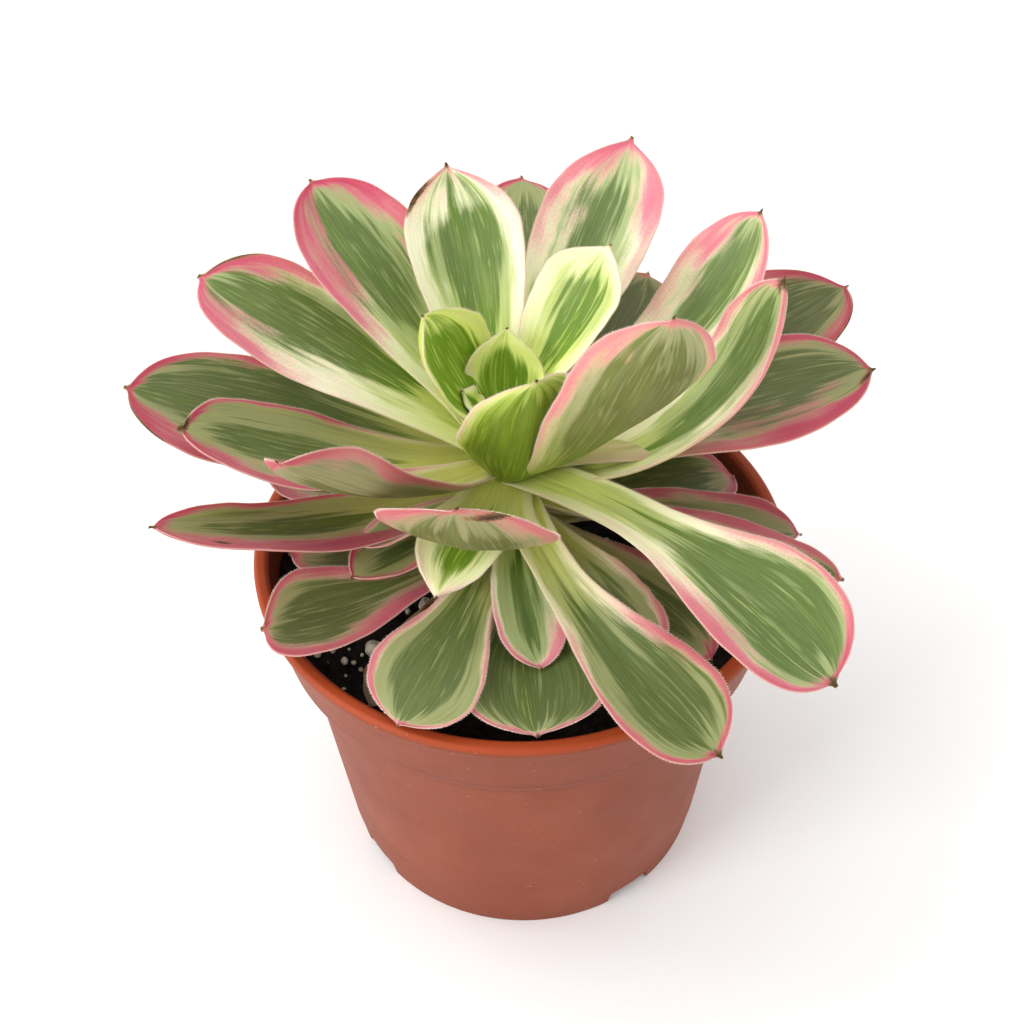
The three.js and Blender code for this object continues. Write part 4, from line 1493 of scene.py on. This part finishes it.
@dataclass
class Rosette:
    """The leaves, from the lowest on the stem to the heart."""

    stem: Stem
    tooth: Colour = srgb(244, 226, 206)
    tooth_pink: Colour = srgb(232, 186, 172)
    # Unlisted leaves lie low and hidden; their shade is partly painted shade.
    hidden: LeafLook = LeafLook(shade=0.45)

    # Height of the root on the stem, turn, rise, bend, sway, length, width, roll and fold.
    ROWS = {
        "lower_leaf_1": (103, 19, 0, -10, 0, 54, 26, 0, 20),
        "lower_leaf_2": (107, 165, 4, -8, 0, 60, 26, 0, 20),
        "lower_leaf_3": (105, 80, 2, -8, 0, 60, 26, 0, 20),
        "lower_leaf_4": (105, -44, -3, -8, 0, 56, 26, 0, 20),
        "lower_leaf_5": (104, 187, 0, -10, 0, 52, 26, 0, 20),
        "lower_leaf_6": (107, -87, -3, -10, 0, 59, 33, 0, 20),
        "lower_leaf_7": (107, 40, 2, -8, 0, 62, 26, 0, 20),
        "lower_leaf_8": (107, 233, 0, -8, -50, 66, 28, 0, 25),
        "lower_leaf_9": (108, 112, 3, -8, 0, 60, 26, 0, 20),
        "lower_leaf_10": (109, -6, -1, -10, 0, 65, 18, 0, 20),
        "lower_leaf_11": (110, -105, 1, -22, -19, 63, 27, 0, 15),
        "lower_leaf_12": (111, 148, 4, -8, 0, 62, 26, 0, 20),
        "lower_leaf_13": (112, 64, 4, 0, 0, 84, 28, 0, 20),
        "lower_leaf_14": (112, -18, -1, -10, 0, 76, 16, 0, 20),
        "lower_leaf_15": (110, -58, -3, -5, 4, 52, 18, 0, 40),
        "small_leaf_1": (112, 216, 1, -3, 0, 42, 18, 0, 40),
        "small_leaf_2": (114, 213, 5, 0, 0, 38, 10, 0, 50),
        "small_leaf_3": (115, -120, 6, -20, 8, 36, 21, 0, 30),
        "small_leaf_4": (114, -89, 0, -28, 12, 47, 17, 0, 30),
        "outer_leaf_1": (115, 206, -3, 36, -8, 84, 22, 10, 30),
        "outer_leaf_2": (116, 87, 15, 0, 0, 93, 29, 0, 20),
        "outer_leaf_3": (117, 27, 13, 0, 0, 94, 36, 0, 20),
        "outer_leaf_4": (117, -81, 6, -28, 42, 87, 27, 0, 30),
        "outer_leaf_5": (118, 175, 12, 5, 0, 88, 38, 0, 15),
        "outer_leaf_6": (119, -44, 19, -44, -2, 93, 34, 0, 30),
        "outer_leaf_7": (122, 3, 12, 5, 0, 84, 36, 0, 15),
        "outer_leaf_8": (121, 197, 9, 25, -10, 75, 29, 0, 30),
        "outer_leaf_9": (121, 229, 18, 38, -8, 76, 24, 45, 50),
        "outer_leaf_10": (119, -106, -5, 90, 8, 60, 40, 0, 20),
        "inner_leaf_1": (120, -40, 36, 48, 0, 77, 34, -50, 40),
        "inner_leaf_2": (124, 160, 25, 0, 0, 79, 35, 0, 25),
        "inner_leaf_3": (118, -20, 10, 80, 40, 88, 26, 0, 50),
        "inner_leaf_4": (128, 61, 24, 5, 6, 83, 31, 0, 25),
        "inner_leaf_5": (126, 134, 35, 0, 0, 75, 32, 0, 25),
        "inner_leaf_6": (121, 25, 8, 55, 14, 84, 26, 0, 30),
        "inner_leaf_7": (128, 104, 43, 0, 0, 64, 30, 0, 40),
        "inner_leaf_8": (131, 44, 36, 15, 0, 47, 25, 0, 40),
        "heart_leaf_1": (118, -76, 47, 50, 18, 47, 35, 0, 60),
        "heart_leaf_2": (129, 165, 52, 22, -12, 34, 30, 0, 50),
        "heart_leaf_3": (128, 190, 45, 20, 0, 19, 15, 0, 30),
        "heart_leaf_4": (127, 84, 60, 12, 0, 25, 21, 0, 50),
        "heart_leaf_5": (131, 175, 50, 15, 0, 12, 10, 0, 30),
    }

    LOOKS = {
        "lower_leaf_1": LeafLook(tip=2.5, blush=0.95, pink_from=0.3, shade=0.55),
        "lower_leaf_4": LeafLook(tip=2.5, pink_from=0.3, shade=0.6),
        "lower_leaf_5": LeafLook(blush=1.1, pink_from=0.2, shade=0.8, pale=0.3),
        "lower_leaf_6": LeafLook(cw=1.2, ccw=1.2, tip=1.2, blush=0.7, shade=0.35, pale=0.1),
        "lower_leaf_8": LeafLook(ccw=4, tip=2.5, blush=1, pink_from=0.25, shade=0.6, pale=0),
        "lower_leaf_10": LeafLook(tip=2, blush=1, pink_from=0.3, shade=0.6),
        "lower_leaf_11": LeafLook(cw=1.6, ccw=1.2, tip=1.2, blush=0.8, shade=0.4, pale=0.3),
        "lower_leaf_13": LeafLook(cw=2, ccw=2, tip=1.5, blush=0.8, pink_from=0.4, shade=0.7),
        "lower_leaf_14": LeafLook(cw=1.5, tip=1, blush=1, pink_from=0.3, shade=0.5, pale=0.2),
        "lower_leaf_15": LeafLook(cw=2, ccw=2, tip=2, blush=0.8, shade=0.5),
        "small_leaf_1": LeafLook(cw=2, ccw=2, tip=1.5, blush=1.2, pink_from=0.2, shade=0.5),
        "small_leaf_2": LeafLook(cw=1, ccw=1, tip=1, blush=0.6, pink_from=0.3, shade=0.3, pale=1.5),
        "small_leaf_3": LeafLook(cw=4, ccw=4, tip=2.5, blush=0.2, pink_from=0.8, pale=0.5, lime=0.7),
        "small_leaf_4": LeafLook(cw=1.5, tip=2, blush=0.7, pink_from=0.65, shade=0.1, pale=0.3),
        "outer_leaf_1": LeafLook(
            cw=1.2, ccw=8, blush=1.3, pink_from=0.3, shade=0.45, pale=1.2, dry=2,
            scars=(Scar(0.62, 0.82, 0.9, 2.6),),
        ),
        "outer_leaf_2": LeafLook(tip=2, blush=1.2, pink_from=0.6, shade=0.35, pale=0.8),
        "outer_leaf_3": LeafLook(
            cw=4.5, ccw=4, tip=2.5, blush=1.3, pink_from=0.4, shade=0.6, pale=0.2,
            scars=(Scar(-0.99, 0.9, 0.4, 7.0), Scar(0.99, 0.92, 0.4, 4.0)),
        ),
        "outer_leaf_4": LeafLook(
            cw=2.2, ccw=2.5, tip=1.8, blush=1.1, pink_from=0.6, shade=0.3, pale=0.4, dry=2.5,
        ),
        "outer_leaf_5": LeafLook(
            cw=2.5, ccw=8, tip=2.5, blush=1.3, pink_from=0.35, shade=0.4, pale=0,
            scars=(Scar(0.98, 0.9, 0.7, 7.0),),
        ),
        "outer_leaf_6": LeafLook(
            cw=5.5, ccw=2.5, tip=2, blush=1, pink_from=0.6, shade=0.1, pale=0.3, dry=3,
        ),
        "outer_leaf_7": LeafLook(
            cw=8.5, tip=2, blush=1.3, shade=0.55, pale=0.1, dry=2.2,
            scars=(Scar(-0.5, 0.97, 1.2, 2.5),),
        ),
        "outer_leaf_8": LeafLook(
            cw=1.5, ccw=8, tip=1.5, blush=1.3, pink_from=0.4, shade=0.4, pale=1.3, dry=1.8,
            scars=(Scar(-0.6, 0.98, 3.0, 1.0),),
        ),
        "outer_leaf_9": LeafLook(cw=2.5, tip=2.5, blush=1.1, pink_from=0.3, shade=0.45, pale=1.6),
        "outer_leaf_10": LeafLook(
            cw=4, ccw=4, tip=1.4, blush=1, pink_from=0.6, shade=0.35,
            scars=(Scar(0.7, 0.95, 5.0, 0.9),),
        ),
        "inner_leaf_1": LeafLook(
            cw=3.2, ccw=3.2, tip=1.8, blush=0.8, pink_from=0.4, shade=0.1, pale=0.5, glow=1,
        ),
        "inner_leaf_2": LeafLook(
            cw=4.5, ccw=9, blush=1.1, pink_from=0.66, pale=0.3,
            scars=(Scar(-0.97, 0.93, 0.8, 5.0), Scar(0.5, 0.2, 0.7, 0.6)),
        ),
        "inner_leaf_3": LeafLook(cw=7, ccw=2.5, tip=2, blush=0.85, pink_from=0.6, pale=0.5, dry=4),
        "inner_leaf_4": LeafLook(cw=6, ccw=6, blush=0.85, pink_from=0.6, pale=0.5),
        "inner_leaf_5": LeafLook(cw=5.5, ccw=6, blush=1.25, pale=0.2),
        "inner_leaf_6": LeafLook(cw=5.5, ccw=5.5, tip=2, blush=0.75, pink_from=0.6, pale=0.3, dry=2),
        "inner_leaf_7": LeafLook(
            cw=4.2, ccw=5.5, tip=1.5, blush=0.6, pink_from=0.85, pale=0.3, lime=0.1, dry=1.6,
            scars=(Scar(0.97, 0.88, 1.2, 4.0),),
        ),
        "inner_leaf_8": LeafLook(cw=3.5, ccw=3.5, tip=2, blush=0.2, pink_from=0.9, pale=0.4, lime=0.45),
        "heart_leaf_1": LeafLook(
            cw=1.4, ccw=1.6, tip=1.4, blush=0.05, pink_from=0.7, pale=0.1, lime=0.9, glow=0,
        ),
        "heart_leaf_2": LeafLook(cw=3.2, ccw=3.2, tip=1.2, blush=0, pale=-0.6, lime=1.5, glow=0),
        "heart_leaf_3": LeafLook(cw=1.5, ccw=1.5, tip=0.8, blush=0, lime=0.8, dry=0.5, glow=0),
        "heart_leaf_4": LeafLook(cw=3.4, ccw=3.4, tip=1, blush=0, pale=-0.6, lime=1.5, dry=0.5, glow=0),
        "heart_leaf_5": LeafLook(
            cw=1.2, ccw=1.2, tip=0.6, blush=0, pale=0.4, lime=0.8, dry=0.4, glow=0,
        ),
    }

    def leaves(self, phases: Iterator[float]) -> list[Leaf]:
        """Every leaf with its marks and the phase of its waves."""
        return [
            Leaf(name, *row, next(phases), self.LOOKS.get(name, self.hidden))
            for name, row in self.ROWS.items()
        ]

    def build(self, streaks: Tree, phases: Iterator[float]) -> list[Piece]:
        """Makes and dresses every leaf.

        Args:
            streaks: the group of lengthwise noise.
            phases: where the leaves' waves start.

        Returns:
            The finished leaves.
        """
        pattern = pattern_group(streaks)
        for palette in (UPPER_FACE, UNDER_FACE):
            palette.material(pattern)
        _, shader = new_material("leaf_teeth")
        share = shader.step(shader.noise(shader.place(), 300.0), 0.4, 0.6)
        shader.surface(
            Base_Color=shader.mix(share, self.tooth, self.tooth_pink),
            Roughness=0.5,
            Subsurface_Weight=0.1,
            Subsurface_Scale=0.5 * MM,
        )
        made = []
        for leaf in self.leaves(phases):
            slot = "leaf_inner" if re.match("heart|inner", leaf.name) else "leaf_outer"
            made.append(VariegatedLeaf(leaf, self.stem).build(slot))
        return made


# ---------------------------------------------------------------- dried leaf


@dataclass
class DriedLeaf:
    """The dead leaf that lies on the soil, brown and papery."""

    stem: Stem
    phase: float
    row: tuple[float, ...] = (99, -122, -12, 4, -14, 54, 20, 15, 45)
    crumple: float = 1.2
    edge_share: float = 0.4
    root_thickness: float = 1.6
    blade_thickness: float = 0.9
    amber: Colour = srgb(176, 104, 56)
    tan: Colour = srgb(204, 160, 112)
    paper: Colour = srgb(168, 150, 132)
    vein: Colour = srgb(112, 62, 36)

    def material(self, streaks: Tree) -> bpy.types.Material:
        """Builds the dry skin.

        Args:
            streaks: the group of lengthwise noise.

        Returns:
            The material.
        """
        material, shader = new_material("leaf_dead")
        uv = shader.add("ShaderNodeUVMap", uv_map=VariegatedLeaf.UV_NAME).outputs[0]
        split = shader.add("ShaderNodeSeparateXYZ", {0: uv})
        values = {
            "Across": shader.math("MULTIPLY", split.outputs[0], UV_REACH),
            "Along": shader.math("MULTIPLY", split.outputs[1], UV_REACH),
            "Seed": 3.0,
            "Fineness": 1.1,
            "Stretch": 18.0,
        }
        veins = shader.group(streaks, values)
        cloud = shader.noise(shader.place(), 150.0, 4.0)
        colour = shader.mix(shader.step(cloud, 0.38, 0.62), self.amber, self.tan)
        colour = shader.mix(shader.step(veins.outputs[0], 0.52, 0.66), colour, self.vein)
        papery = shader.math("ADD", split.outputs[1], shader.math("MULTIPLY", cloud, 0.2))
        papery = shader.step(papery, 0.5, 0.66)
        colour = shader.mix(papery, colour, self.paper)
        shader.surface(
            Base_Color=colour,
            Roughness=0.7,
            Normal=shader.bump(veins.outputs[0], 0.5 * MM),
            Subsurface_Weight=0.25,
            Subsurface_Radius=(1.0, 0.5, 0.2),
            Subsurface_Scale=1.5 * MM,
        )
        return material

    def build(self, streaks: Tree) -> Piece:
        """Makes and dresses the dead leaf.

        Args:
            streaks: the group of lengthwise noise.

        Returns:
            The finished leaf.
        """
        leaf = Leaf("dead_leaf", *self.row, self.phase, LeafLook())
        maker = VariegatedLeaf(
            leaf, self.stem, crumple=self.crumple, edge_share=self.edge_share,
            root_thickness=self.root_thickness, blade_thickness=self.blade_thickness,
        )
        blade = maker.blade()
        blade.name = blade.data.name = "dried_leaf"
        blade.data.materials.clear()
        blade.data.materials.append(self.material(streaks))
        finish_piece(blade, "leaf_dead", ["dead_leaf"])
        return blade


# ---------------------------------------------------------------- studio


@dataclass(frozen=True)
class SoftLight:
    """A square light that faces the plant: its place and side in mm, and its power in watts."""

    name: str
    place: tuple[float, float, float]
    side: float
    power: float

    def build(self) -> None:
        """Hangs the light."""
        data = bpy.data.lights.new(self.name, "AREA")
        data.shape, data.size, data.energy = "SQUARE", self.side * MM, self.power
        light = bpy.data.objects.new(self.name, data)
        place = Vector(self.place) * MM
        turn = (Vector((0, 0, 0.1)) - place).to_track_quat("-Z", "Y").to_matrix().to_4x4()
        light.matrix_world = Matrix.Translation(place) @ turn
        bpy.context.scene.collection.objects.link(light)


@dataclass
class Studio:
    """Pale floor, soft light and the camera at the photograph's angle."""

    elevation: float = 44.6
    distance: float = 394.0
    shift_right: float = -1.8
    shift_up: float = 32.9
    roll: float = -1.3
    focus_height: float = 60.0
    lens: float = 52.73
    sensor: float = 36.0
    reach: tuple[float, float] = (0.01, 20.0)
    floor_size: float = 6000.0
    floor_colour: Colour = (0.95, 0.955, 0.95, 1.0)
    world_strength: float = 1.0
    lights: tuple[SoftLight, ...] = (
        SoftLight("key_light", (-1800, 700, 2900), 1700, 24.0),
        SoftLight("side_light", (-2400, -1440, 1260), 1300, 48.0),
    )

    def camera(self) -> None:
        """Sets the camera from its angle above the floor and its distance."""
        tilt, roll = math.radians(self.elevation), math.radians(self.roll)
        back = Vector((0, -math.cos(tilt), math.sin(tilt)))
        right = Vector((1, 0, 0))
        up = back.cross(right)
        place = Vector((0, 0, self.focus_height)) + back * self.distance
        place += right * self.shift_right + up * self.shift_up
        across = right * math.cos(roll) + up * math.sin(roll)
        above = up * math.cos(roll) - right * math.sin(roll)
        data = bpy.data.cameras.new("camera")
        data.lens, data.sensor_width = self.lens, self.sensor
        data.clip_start, data.clip_end = self.reach
        camera = bpy.data.objects.new("camera", data)
        turn = Matrix((across, above, back)).transposed().to_4x4()
        camera.matrix_world = Matrix.Translation(place * MM) @ turn
        bpy.context.scene.collection.objects.link(camera)
        bpy.context.scene.camera = camera

    def floor(self) -> None:
        """Lays the plain pale floor."""
        deselect_all()
        bpy.ops.mesh.primitive_plane_add(size=self.floor_size * MM)
        floor = take_new("floor")
        material, shader = new_material("floor")
        shader.surface(Base_Color=self.floor_colour, Roughness=0.85, Specular_IOR_Level=0.2)
        floor.data.materials.append(material)

    def build(self) -> None:
        """Sets the whole studio."""
        self.camera()
        self.floor()
        for light in self.lights:
            light.build()
        world = bpy.data.worlds.new("studio")
        world.use_nodes = True
        background = world.node_tree.nodes["Background"]
        background.inputs["Color"].default_value = (1, 1, 1, 1)
        background.inputs["Strength"].default_value = self.world_strength
        bpy.context.scene.world = world
        bpy.context.scene.view_settings.view_transform = "Standard"


def main() -> None:
    """Builds the plant, its pot and the studio."""
    logging.basicConfig(level=logging.INFO, format="%(name)s: %(message)s")
    deselect_all()
    Studio().build()
    streaks, specks = streak_group(), speckle_group()
    phases = wave_phases(WAVE_SEED)
    pot, stem = NurseryPot(), Stem()
    soil, dried_leaf = PottingSoil(pot, stem), DriedLeaf(stem, next(phases))
    pieces = [
        pot.build(specks),
        soil.build_bed(specks),
        *soil.build_crumbs(),
        *soil.build_grains(),
        stem.build(),
        *Rosette(stem).build(streaks, phases),
        dried_leaf.build(streaks),
    ]
    LOG.info("%d pieces in all", len(pieces))


if __name__ == "__main__":
    main()
